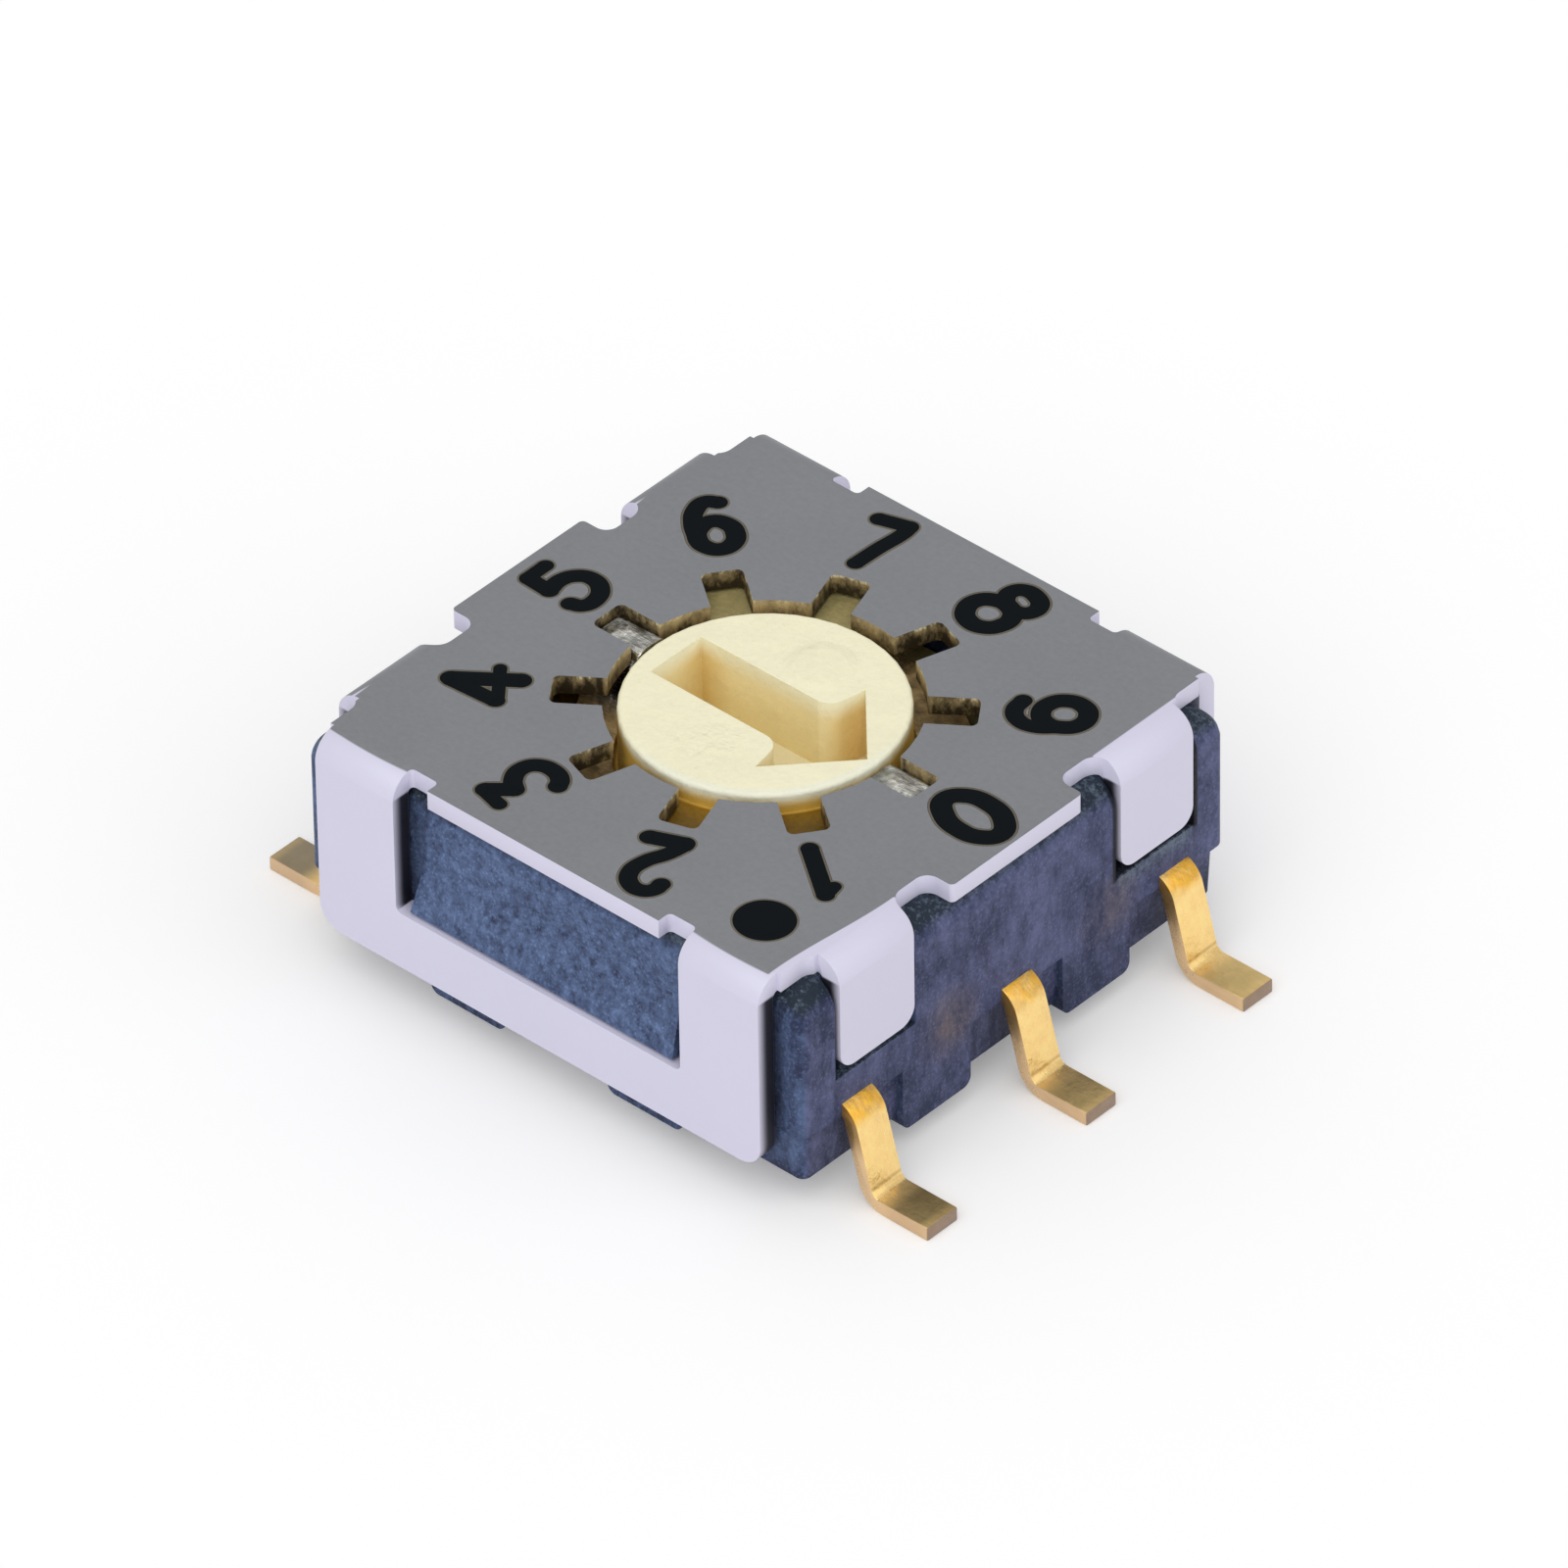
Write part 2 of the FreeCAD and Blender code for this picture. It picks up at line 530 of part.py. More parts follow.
def make_common_terminal():
    """Common terminal: two middle leads joined by a ring round the bore."""
    body = doc.addObject("PartDesign::Body", "terminal_common")
    body.Label = "terminal_common"
    strip = sketch_on(body, "common_strip", "XY_Plane", "sizes.parting_height")
    draw_box(strip, f"-{LEAD_ROOT}", LEAD_ROOT,
             "-sizes.lead_wide / 2", "sizes.lead_wide / 2")
    pad(body, strip, "sizes.lead_thick")
    ring = sketch_on(body, "common_ring", "XY_Plane", "sizes.parting_height")
    draw_circle(ring, RING_OUT)
    pad(body, ring, "sizes.lead_thick")
    inside = sketch_on(body, "common_ring_hole", "XY_Plane", FLOOR)
    draw_circle(inside, RING_IN)
    pocket(body, inside, "sizes.lead_thick")
    leads = sketch_on(body, "common_leads", "XZ_Plane")
    lead_profile(leads, "1")
    lead_profile(leads, "-1")
    pad(body, leads, "sizes.lead_wide", symmetric=True)
    round_lead(body)
    return body


def make_base(terminals):
    """Base: moulded block with a well, a bore, catches and tab recesses."""
    body = doc.addObject("PartDesign::Body", "base_block")
    body.Label = "base_block"
    upper = sketch_on(body, "upper_block", "XY_Plane", "sizes.parting_height")
    draw_box(upper, f"-{BODY_SIDE}", BODY_SIDE, f"-{BODY_END}", BODY_END)
    pad(body, upper, f"{PLATE_UNDER} - sizes.parting_height")
    corners = straight_edges(body.Shape, ALONG_Z, x=BODY_SIDE, y=BODY_END)
    round_edges(body, "upright_corners", "sizes.corner_round", corners)
    top_edges = straight_edges(body.Shape, ALONG_X, y=BODY_END, z=PLATE_UNDER)
    round_edges(body, "top_edges", "sizes.top_round", top_edges[:1])

    lower = sketch_on(body, "lower_block", "XY_Plane", "sizes.parting_height")
    inset_long = f"({BODY_SIDE} - sizes.lower_inset)"
    inset_deep = f"({BODY_END} - sizes.lower_inset)"
    draw_box(lower, f"-{inset_long}", inset_long, f"-{inset_deep}", inset_deep,
             "sizes.corner_round", (0, 1, 2, 3))
    pad(body, lower, "sizes.parting_height - sizes.body_bottom", downward=True,
        draft="-sizes.lower_draft")

    # Stand-off pads, flush with the upper half, two on each side
    stands = sketch_on(body, "stand_offs", "XY_Plane", "sizes.parting_height")
    for end in ("1", "-1"):
        for side in ("1", "-1"):
            start = f"{end} * (sizes.stand_place - sizes.stand_long / 2)"
            stop = f"{end} * (sizes.stand_place + sizes.stand_long / 2)"
            draw_box(stands, f"{side} * ({BODY_SIDE} - sizes.stand_deep)", f"{side} * {BODY_SIDE}",
                     start, stop)
            draw_box(stands, start, stop,
                     f"{side} * ({BODY_END} - sizes.stand_deep)", f"{side} * {BODY_END}")
    pad(body, stands, "sizes.parting_height - sizes.stand_bottom", downward=True)
    ends = []
    for place in ("sizes.stand_place - sizes.stand_long / 2",
                  "sizes.stand_place + sizes.stand_long / 2"):
        ends += straight_edges(body.Shape, ALONG_X, y=place, z="sizes.stand_bottom")
        ends += straight_edges(body.Shape, ALONG_Y, x=place, z="sizes.stand_bottom")
    round_edges(body, "stand_ends", "sizes.stand_round", ends)

    recesses = sketch_on(body, "tab_recesses", "XY_Plane", PLATE_UNDER)
    for end in ("1", "-1"):
        for side in ("1", "-1"):
            half_gap = "(sizes.tab_wide / 2 + sizes.tab_side_gap)"
            draw_box(recesses, f"{side} * {TAB_SEAT}", f"{side} * 2 * {TAB_FACE}",
                     f"{end} * ({TAB_MIDDLE} - {half_gap})",
                     f"{end} * ({TAB_MIDDLE} + {half_gap})")
    pocket(body, recesses, f"{PLATE_UNDER} - {TAB_BOTTOM} + sizes.tab_under_gap")

    # A catch is a wedge that fills the window and hooks over the bar below it
    catch = sketch_on(body, "catch", "YZ_Plane")
    catch_low = f"({WINDOW_BOTTOM} + sizes.catch_under_gap)"
    nose = f"({SKIRT_FACE} - sizes.catch_inset)"
    catch_root = f"({BODY_END} - sizes.sheet_thick)"
    draw_loop(catch, [
        (catch_root, catch_low),
        (nose, catch_low),
        (catch_root, f"{PLATE_UNDER} - sizes.catch_top_drop")])
    catch_half = f"({WINDOW_HALF} - sizes.catch_side_gap)"
    catch_pad = pad(body, catch, f"2 * {catch_half}", symmetric=True)
    sides = sketch_on(body, "catch_sides", "XZ_Plane", f"-{BODY_END}")
    for side in ("1", "-1"):
        draw_loop(sides, [
            (f"{side} * {catch_half}", catch_low),
            (f"{side} * 2 * {catch_half}", catch_low),
            (f"{side} * 2 * {catch_half}", "sizes.cover_height"),
            (f"{side} * ({catch_half} - sizes.catch_side_lean)", "sizes.cover_height")])
    catch_trim = pocket(body, sides, "sizes.sheet_thick")
    mirror(body, [catch_pad, catch_trim], "XZ_Plane")

    well = sketch_on(body, "well", "XY_Plane", PLATE_UNDER)
    draw_circle(well, f"{FLANGE} + sizes.well_gap")
    pocket(body, well, f"{PLATE_UNDER} - {FLOOR}")
    bore = sketch_on(body, "bore", "XY_Plane", FLOOR)
    draw_circle(bore, "sizes.journal_wide / 2 + sizes.journal_gap")
    pocket(body, bore, "sizes.bore_deep")

    # The base is moulded round the terminals, so their shapes come out of it
    inserts = doc.addObject("Part::MultiFuse", "terminal_inserts")
    inserts.Shapes = terminals
    base = doc.addObject("Part::Cut", "base")
    base.Label = "base"
    base.Base = body
    base.Tool = inserts
    doc.recompute()
    return base


def make_detent_ring():
    """Ring on the rotor's deck with two humps, one for each of two slots."""
    body = doc.addObject("PartDesign::Body", "detent_spring")
    body.Label = "detent_spring"
    low = DECK
    crest = "(sizes.cover_height - sizes.hump_drop)"
    edge = f"(2 * {SPRING_OUT})"
    skin = "sizes.spring_thick"
    strip = sketch_on(body, "humped_strip", "YZ_Plane")
    draw_loop(strip, [
        (f"-{edge}", low),
        (f"-(sizes.hump_foot - {skin} / 2)", low),
        (f"-(sizes.hump_crest - {skin} / 2)", f"{crest} - {skin}"),
        (f"sizes.hump_crest - {skin} / 2", f"{crest} - {skin}"),
        (f"sizes.hump_foot - {skin} / 2", low),
        (edge, low),
        (edge, f"{low} + {skin}"),
        (f"sizes.hump_foot + {skin} / 2", f"{low} + {skin}"),
        (f"sizes.hump_crest + {skin} / 2", crest),
        (f"-(sizes.hump_crest + {skin} / 2)", crest),
        (f"-(sizes.hump_foot + {skin} / 2)", f"{low} + {skin}"),
        (f"-{edge}", f"{low} + {skin}")])
    pad(body, strip, f"2 * {edge}", symmetric=True)
    shape = body.Shape
    crest_edges = straight_edges(shape, ALONG_X, y=f"sizes.hump_crest + {skin} / 2", z=crest)
    round_edges(body, "hump_tops", "sizes.hump_round", crest_edges)
    trim = sketch_on(body, "ring_trim", "XY_Plane", "sizes.cover_height")
    draw_box(trim, f"-{edge}", edge, f"-{edge}", edge)
    draw_circle(trim, SPRING_OUT)
    pocket(body, trim, "sizes.cover_height")
    middle = sketch_on(body, "ring_middle", "XY_Plane", "sizes.cover_height")
    draw_circle(middle, SPRING_IN)
    pocket(body, middle, "sizes.cover_height")
    return body


def make_moving_contact():
    """Moving contact: a disc with an outer arm and an inner arm folded back."""
    body = doc.addObject("PartDesign::Body", "contact_wiper")
    body.Label = "contact_wiper"
    top = FLANGE_UNDER
    skin = "sizes.leaf_thick"
    touch = f"({FLOOR} + sizes.leaf_gap)"
    disc = sketch_on(body, "contact_disc", "XY_Plane", f"{top} - {skin}")
    draw_circle(disc, "sizes.leaf_disc / 2")
    pad(body, disc, skin)
    arms = sketch_on(body, "contact_arms", "XZ_Plane")
    fold = f"({FLANGE} - sizes.leaf_fold)"
    draw_loop(arms, [
        (f"-{fold}", top),
        ("sizes.leaf_disc / 2", top),
        (TRACK_OUT, f"{touch} + {skin}"),
        (f"{TRACK_OUT} + sizes.leaf_toe", f"{touch} + {skin} + sizes.leaf_toe / 2"),
        (f"{TRACK_OUT} + sizes.leaf_toe", f"{touch} + sizes.leaf_toe / 2"),
        (TRACK_OUT, touch),
        (f"sizes.leaf_disc / 2 - {skin}", f"{top} - {skin}"),
        (f"-({fold} - {skin})", f"{top} - {skin}"),
        (f"-({fold} - {skin})", f"{top} - 2 * {skin}"),
        (f"-{TRACK_IN}", f"{touch} + {skin}"),
        (f"-{TRACK_IN} + sizes.leaf_toe", f"{touch} + {skin} + sizes.leaf_toe / 2"),
        (f"-{TRACK_IN} + sizes.leaf_toe", f"{touch} + sizes.leaf_toe / 2"),
        (f"-{TRACK_IN}", touch),
        (f"-{fold}", f"{top} - 3 * {skin}")])
    pad(body, arms, "sizes.leaf_wide", symmetric=True)
    hub_hole = sketch_on(body, "contact_hole", "XY_Plane", top)
    draw_circle(hub_hole, HUB)
    pocket(body, hub_hole, skin)
    return body


def make_rotor(ring):
    """Rotor: head with an arrow recess, flange with two lobes, hub and journal."""
    body = doc.addObject("PartDesign::Body", "rotor_block")
    body.Label = "rotor_block"
    half = sketch_on(body, "rotor_half", "XZ_Plane")
    journal_end = f"({BORE_FLOOR} + sizes.journal_end_gap)"
    hub_end = f"({FLOOR} + sizes.hub_gap)"
    draw_loop(half, [
        ("0", journal_end),
        ("sizes.journal_wide / 2", journal_end),
        ("sizes.journal_wide / 2", hub_end),
        (HUB, hub_end),
        (HUB, FLANGE_UNDER),
        (FLANGE, FLANGE_UNDER),
        (FLANGE, DECK),
        (HEAD, DECK),
        (HEAD, HEAD_TOP),
        ("0", HEAD_TOP)])
    revolve(body, half)

    lobe = sketch_on(body, "lobe", "XZ_Plane", turn="sizes.lobe_bearing")
    draw_box(lobe, f"{HEAD} / 2", FLANGE,
             f"{DECK} - sizes.spring_thick", f"{PLATE_UNDER} - sizes.lobe_gap")
    lobe_turn = revolve(body, lobe, "sizes.lobe_spread")
    repeat_round(body, lobe_turn, "2")

    rim = []
    for number, edge in enumerate(body.Shape.Edges, 1):
        middle = edge.CenterOfMass
        if edge.Curve.TypeId == "Part::GeomCircle" and abs(middle.z - value(HEAD_TOP)) < 1e-4:
            rim.append(f"Edge{number}")
    round_edges(body, "head_rim", "sizes.knob_round", rim)

    arrow = sketch_on(body, "arrow", "XY_Plane", HEAD_TOP)
    tail = f"-({HEAD} - sizes.arrow_tail_wall)"
    barb_tip = "(sizes.arrow_neck + sizes.arrow_sweep)"
    draw_loop(arrow, [
        (tail, "-sizes.arrow_shaft / 2"),
        ("sizes.arrow_neck", "-sizes.arrow_shaft / 2"),
        (barb_tip, "-sizes.arrow_head / 2"),
        (f"{HEAD} - sizes.arrow_tip_wall", "0"),
        (barb_tip, "sizes.arrow_head / 2"),
        ("sizes.arrow_neck", "sizes.arrow_shaft / 2"),
        (tail, "sizes.arrow_shaft / 2")])
    pocket(body, arrow, "sizes.arrow_deep")
    shoulders = straight_edges(
        body.Shape, ALONG_Z, x="sizes.arrow_neck", y="sizes.arrow_shaft / 2")
    round_edges(body, "arrow_shoulders", "sizes.arrow_round", shoulders)

    # The ring passes through both lobes, which are moulded over it
    rotor = doc.addObject("Part::Cut", "rotor")
    rotor.Label = "rotor"
    rotor.Base = body
    rotor.Tool = ring
    doc.recompute()
    return rotor


terminals = [
    make_code_terminal("terminal_one", 1, -1),
    make_code_terminal("terminal_four", 1, 1),
    make_code_terminal("terminal_two", -1, -1),
    make_code_terminal("terminal_eight", -1, 1),
    make_common_terminal()]
base = make_base(terminals)
cover = make_cover()
detent_spring = make_detent_ring()
contact_wiper = make_moving_contact()
rotor = make_rotor(detent_spring)
nodes = [base, cover, rotor, detent_spring, contact_wiper] + terminals
doc.recompute()

for item in doc.Objects:
    if {"Invalid", "Error"} & set(item.State):
        raise ValueError(f"{item.Name} failed: {item.State}")
for node in nodes:
    if node.Shape.isNull() or not node.Shape.isValid():
        raise ValueError(f"{node.Label} has no valid shape")
    if len(node.Shape.Solids) != 1:
        raise ValueError(f"{node.Label} has {len(node.Shape.Solids)} solids")

os.makedirs("parts", exist_ok=True)
for node in nodes:
    node.Shape.exportStep(os.path.join("parts", node.Label + ".step"))
    box = node.Shape.BoundBox
    print(f"{node.Label}: {node.Shape.Volume:.4f} mm3, x {box.XMin:.3f} to {box.XMax:.3f}, "
          f"y {box.YMin:.3f} to {box.YMax:.3f}, z {box.ZMin:.3f} to {box.ZMax:.3f}")
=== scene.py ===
"""Ten-position rotary code switch, dressed for a studio picture.

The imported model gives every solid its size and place. This script gives each
one its finish, prints the dial on the cover and sets up floor, light and camera.
Lengths are in metres, in the model's own frame: +Z up, the solder feet on the
floor at height zero, X across the rows of leads and Y along them.
"""

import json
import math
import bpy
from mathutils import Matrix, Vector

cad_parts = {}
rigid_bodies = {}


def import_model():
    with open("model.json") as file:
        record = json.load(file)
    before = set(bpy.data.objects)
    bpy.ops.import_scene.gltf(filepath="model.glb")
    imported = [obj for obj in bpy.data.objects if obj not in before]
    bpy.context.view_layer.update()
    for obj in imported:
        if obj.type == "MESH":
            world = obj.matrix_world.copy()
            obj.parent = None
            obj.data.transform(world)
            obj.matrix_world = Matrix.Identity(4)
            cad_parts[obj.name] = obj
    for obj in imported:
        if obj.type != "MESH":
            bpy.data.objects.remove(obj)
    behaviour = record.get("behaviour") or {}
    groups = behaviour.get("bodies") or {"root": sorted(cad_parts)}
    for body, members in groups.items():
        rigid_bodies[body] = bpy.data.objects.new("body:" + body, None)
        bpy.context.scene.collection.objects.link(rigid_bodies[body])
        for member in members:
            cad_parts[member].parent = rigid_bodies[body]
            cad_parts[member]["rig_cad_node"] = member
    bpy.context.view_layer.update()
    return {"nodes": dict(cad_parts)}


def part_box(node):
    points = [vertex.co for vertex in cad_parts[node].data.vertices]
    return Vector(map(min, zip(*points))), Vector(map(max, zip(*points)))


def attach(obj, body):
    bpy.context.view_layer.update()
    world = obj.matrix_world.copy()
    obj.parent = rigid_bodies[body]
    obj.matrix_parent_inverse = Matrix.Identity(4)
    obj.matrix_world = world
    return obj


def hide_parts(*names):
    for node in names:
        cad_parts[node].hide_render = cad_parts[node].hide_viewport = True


bl_info = {
    "name": "Rotary code switch",
    "version": (1, 0, 0),
    "blender": (4, 5, 0),
    "location": "View3D > Sidebar > Switch",
    "description": "Dresses the rotary code switch and lights it for a picture",
    "category": "Object",
}

import bpy
from mathutils import Matrix, Vector

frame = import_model()

MM = 0.001
PLATE_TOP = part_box("cover")[1].z
COVER_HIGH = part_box("cover")[1]
ROTOR_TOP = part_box("rotor")[1].z
LEAD_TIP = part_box("terminal_common")[1].x
RING_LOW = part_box("detent_spring")[0].z

# Places on the parts, in millimetres from the middle of the dial and from the floor
SHEET = 0.25                          # thickness of the cover
HOLE_RADIUS = 1.742                   # hole in the cover
SLOTS_END = 2.4                       # outer ends of the slots, from the middle
HUMP_START = 1.75                     # inner end of the ring's hump by the zero, across
TONGUE_HALF = 1.6                     # half the plate's stretch between its tabs
TAB_MIDDLE = 2.235                    # middle of a tab, along the rows
TAB_HALF = 0.625                      # half the width of a tab
NOTCH_HALF = 0.665                    # half the width of the base's notch for a tab
LEDGE_TOP = PLATE_TOP / MM - 1.54     # ledge of the base below a tab
SIDE_WALL = 3.5                       # base's walls by the leads, across
END_WALL = 3.37                       # base's walls by the skirts, along
CATCH_FOOT = 1.43                     # lower end of a catch
# Painted reflections of the plating on the base's lead side
LEAD_GLEAMS = ((-1.05, 1.3), (1.49, 1.3))    # gleams on the lead side, along and up
NEAR_WAY = (0.68, -0.73)              # direction of the corner by the dot
HEAD_RADIUS = 1.585                   # round head of the rotor
PIN_MARK = (0.035, 0.865)             # moulding pin's disc on the head
GATE_MARK = (0.0, -0.9)               # rougher patch on the head
TAIL_CORNER = (-1.29, 0.4)            # corner of the arrow's tail
BARB_CORNER = (0.74, 0.68)            # far barb of the arrow
POCKET_CORNER = (0.62, -0.64)         # near barb of the arrow
RING_FLAT = RING_LOW / MM + 0.08      # flat part of the detent ring
HEEL = 0.27                           # crease of a lead's lower bend, up

# Limits for the copies of the solids, and proportions of the print
CREASE = math.radians(32)             # sharper edges are rounded
SAME_PLANE = math.radians(0.4)        # faces that lean apart by less become one
SEAM = 0.0001 * MM                    # corners nearer than this become one
UPRIGHT = 0.99999                     # faces whose normal rises more are level
RIM_HEIGHT = 0.4                      # height of the ink's rim, in parts of the ink's
DOT_OVAL = 0.97                       # dot's length along the rows, in parts of its width

# Lamps: name, share of the key's strength, then softness, azimuth and elevation in degrees
LAMPS = (("key_lamp", 1.0, 60, 15, 50), ("fill_lamp", 0.39, 70, 95, 35))


# Sizes and colours that a user would change

class SheetLook(bpy.types.PropertyGroup):
    """Finish of the folded cover."""
    # The plate's grey and the folds' pale lavender are painted reflection on one sheet
    plate: bpy.props.FloatVectorProperty(
        name="Plate", description="Flat top of the cover", subtype="COLOR", size=3,
        min=0, max=1, default=(0.25, 0.258, 0.276))
    fold: bpy.props.FloatVectorProperty(
        name="Folds", description="Skirts, tabs and outer cut edges", subtype="COLOR", size=3,
        min=0, max=1, default=(0.7, 0.68, 0.83))
    # The slot walls' near black is painted shade, and their pale streaks are partly painted
    # reflection
    cut: bpy.props.FloatVectorProperty(
        name="Slot walls", description="Cut faces round the hole", subtype="COLOR", size=3,
        min=0, max=1, default=(0.03, 0.02, 0.008))
    cut_pale: bpy.props.FloatVectorProperty(
        name="Slot streaks", description="Pale streaks of the cut faces round the hole",
        subtype="COLOR", size=3, min=0, max=1, default=(0.5, 0.38, 0.18))
    # Slot glints are painted highlights on the slots' upper edges
    cut_glint: bpy.props.FloatVectorProperty(
        name="Slot glints", description="Worn spots on the upper edges of the slots",
        subtype="COLOR", size=3, min=0, max=1, default=(0.75, 0.66, 0.4))
    # Window walls: painted shade on the cut faces beside the windows
    shade: bpy.props.FloatVectorProperty(
        name="Window walls", description="Dark cut faces beside the windows", subtype="COLOR",
        size=3, min=0, max=1, default=(0.012, 0.012, 0.02))
    rim: bpy.props.FloatProperty(
        name="Edge rounding", description="Rounding of the sheet's cut edges", unit="LENGTH",
        min=0, default=0.014 * MM)


class MouldedLook(bpy.types.PropertyGroup):
    """Finish of the two mouldings."""
    base: bpy.props.FloatVectorProperty(
        name="Base", description="Slate blue plastic of the base", subtype="COLOR", size=3,
        min=0, max=1, default=(0.022, 0.03, 0.075))
    base_pale: bpy.props.FloatVectorProperty(
        name="Base filler", description="Pale filler grains in the base", subtype="COLOR", size=3,
        min=0, max=1, default=(0.118, 0.176, 0.335))
    # The catches' brighter grains are partly painted light, where the catches lean up
    base_catch: bpy.props.FloatVectorProperty(
        name="Base filler on the catches", description="Brighter filler grains on the catches",
        subtype="COLOR", size=3, min=0, max=1, default=(0.2, 0.3, 0.55))
    # Grains on the lead sides differ from the end faces' by painted light
    base_side: bpy.props.FloatVectorProperty(
        name="Base filler on the sides", description="Filler grains on the lead sides",
        subtype="COLOR", size=3, min=0, max=1, default=(0.132, 0.148, 0.285))
    # Warm smudge: painted reflection of the plated leads
    base_lead_reflection: bpy.props.FloatVectorProperty(
        name="Warm smudge", description="Brownish smudges of the base beside the leads",
        subtype="COLOR", size=3, min=0, max=1, default=(0.2, 0.145, 0.12))
    # Teal grains and dark teal on the upward faces are painted light
    base_top: bpy.props.FloatVectorProperty(
        name="Base filler on top", description="Teal filler grains on the upward faces",
        subtype="COLOR", size=3, min=0, max=1, default=(0.13, 0.172, 0.225))
    base_dark: bpy.props.FloatVectorProperty(
        name="Base on top", description="Dark teal of the upward faces", subtype="COLOR",
        size=3, min=0, max=1, default=(0.016, 0.026, 0.042))
    # Gaps: painted shade in the gaps round the tabs
    base_gap_shade: bpy.props.FloatVectorProperty(
        name="Gaps", description="Near black of the gaps round the tabs", subtype="COLOR",
        size=3, min=0, max=1, default=(0.004, 0.005, 0.01))
    rotor: bpy.props.FloatVectorProperty(
        name="Rotor", description="Cream plastic of the rotor", subtype="COLOR", size=3,
        min=0, max=1, default=(0.935, 0.89, 0.635))
    # Near rim: painted highlight on the head's rim towards the camera
    rotor_rim_highlight: bpy.props.FloatVectorProperty(
        name="Rotor's near rim", description="Milky cream of the head's rim towards the camera",
        subtype="COLOR", size=3, min=0, max=1, default=(0.9, 0.9, 0.73))
    # Recess colour: painted shade on the recess walls
    rotor_recess_shade: bpy.props.FloatVectorProperty(
        name="Rotor recess", description="Deeper cream of the walls in the recess",
        subtype="COLOR", size=3, min=0, max=1, default=(0.89, 0.755, 0.415))
    # Head's wall colour: painted shade that turns the cream amber
    rotor_wall_shade: bpy.props.FloatVectorProperty(
        name="Head's wall", description="Amber of the head's round wall below its rim",
        subtype="COLOR", size=3, min=0, max=1, default=(0.68, 0.42, 0.075))
    # Lobe colours are painted shade under the plate
    lobe_near_shade: bpy.props.FloatVectorProperty(
        name="Near lobe", description="Amber of the lobe under the near slots",
        subtype="COLOR", size=3, min=0, max=1, default=(0.2, 0.108, 0.008))
    lobe_far_shade: bpy.props.FloatVectorProperty(
        name="Far lobe", description="Paler amber of the lobe under the far slots",
        subtype="COLOR", size=3, min=0, max=1, default=(0.36, 0.3, 0.125))
    rim: bpy.props.FloatProperty(
        name="Edge rounding", description="Rounding of the moulded edges", unit="LENGTH",
        min=0, default=0.02 * MM)


class MetalLook(bpy.types.PropertyGroup):
    """Finish of the leads, the detent ring and the moving contact."""
    gold: bpy.props.FloatVectorProperty(
        name="Plating", description="Bright plating on the upper run of a lead",
        subtype="COLOR", size=3, min=0, max=1, default=(1.0, 0.7, 0.28))
    # Far foot: painted reflection on the feet of the far row
    foot_far_reflection: bpy.props.FloatVectorProperty(
        name="Far foot", description="Greyer plating on the feet of the far row",
        subtype="COLOR", size=3, min=0, max=1, default=(0.55, 0.45, 0.29))
    knee: bpy.props.FloatVectorProperty(
        name="Knee", description="Richer plating on the upper bend of a lead",
        subtype="COLOR", size=3, min=0, max=1, default=(1.0, 0.54, 0.085))
    foot: bpy.props.FloatVectorProperty(
        name="Foot", description="Duller plating on a solder foot", subtype="COLOR", size=3,
        min=0, max=1, default=(0.52, 0.38, 0.16))
    edge: bpy.props.FloatVectorProperty(
        name="Strip edge", description="Thin plating on a lead's narrow sides",
        subtype="COLOR", size=3, min=0, max=1, default=(0.77, 0.52, 0.3))
    # Upper strip edge: painted dark reflection on the lead sides near the base
    edge_dark_reflection: bpy.props.FloatVectorProperty(
        name="Upper strip edge", description="Brown of those sides near the base",
        subtype="COLOR", size=3, min=0, max=1, default=(0.2, 0.095, 0.025))
    cut: bpy.props.FloatVectorProperty(
        name="Cut end", description="Bare cut end of a lead", subtype="COLOR", size=3,
        min=0, max=1, default=(0.32, 0.22, 0.15))
    # Ring's floor: painted reflection on the flat of the detent ring
    ring_floor_reflection: bpy.props.FloatVectorProperty(
        name="Ring's floor", description="Brownish flat part of the detent ring",
        subtype="COLOR", size=3, min=0, max=1, default=(0.6, 0.43, 0.2))
    steel: bpy.props.FloatVectorProperty(
        name="Steel", description="Rolled steel of the detent ring", subtype="COLOR", size=3,
        min=0, max=1, default=(0.5, 0.5, 0.47))
    rim: bpy.props.FloatProperty(
        name="Edge rounding", description="Rounding of the strip's edges", unit="LENGTH",
        min=0, default=0.02 * MM)


class DialPrint(bpy.types.PropertyGroup):
    """Digits and index dot printed on the cover."""
    ink: bpy.props.FloatVectorProperty(
        name="Ink", description="Printing ink", subtype="COLOR", size=3,
        min=0, max=1, default=(0.0035, 0.006, 0.008))
    edge: bpy.props.FloatVectorProperty(
        name="Ink edge", description="Thin warm rim of the ink", subtype="COLOR", size=3,
        min=0, max=1, default=(0.15, 0.13, 0.1))
    radius: bpy.props.FloatProperty(
        name="Dial radius", description="Centre of the dial to the middle of a digit",
        unit="LENGTH", min=0, default=2.95 * MM)
    bleed: bpy.props.FloatProperty(
        name="Bleed", description="Width of the ink's warm rim", unit="LENGTH",
        min=0, default=0.02 * MM)
    thickness: bpy.props.FloatProperty(
        name="Thickness", description="Height of the ink over the plate", unit="LENGTH",
        min=0, default=0.005 * MM)
    dot_x: bpy.props.FloatProperty(
        name="Dot X", description="Index dot across the rows", unit="LENGTH",
        default=2.5 * MM)
    dot_y: bpy.props.FloatProperty(
        name="Dot Y", description="Index dot along the rows", unit="LENGTH",
        default=-2.77 * MM)
    dot_size: bpy.props.FloatProperty(
        name="Dot size", description="Diameter of the index dot", unit="LENGTH",
        min=0, default=0.7 * MM)


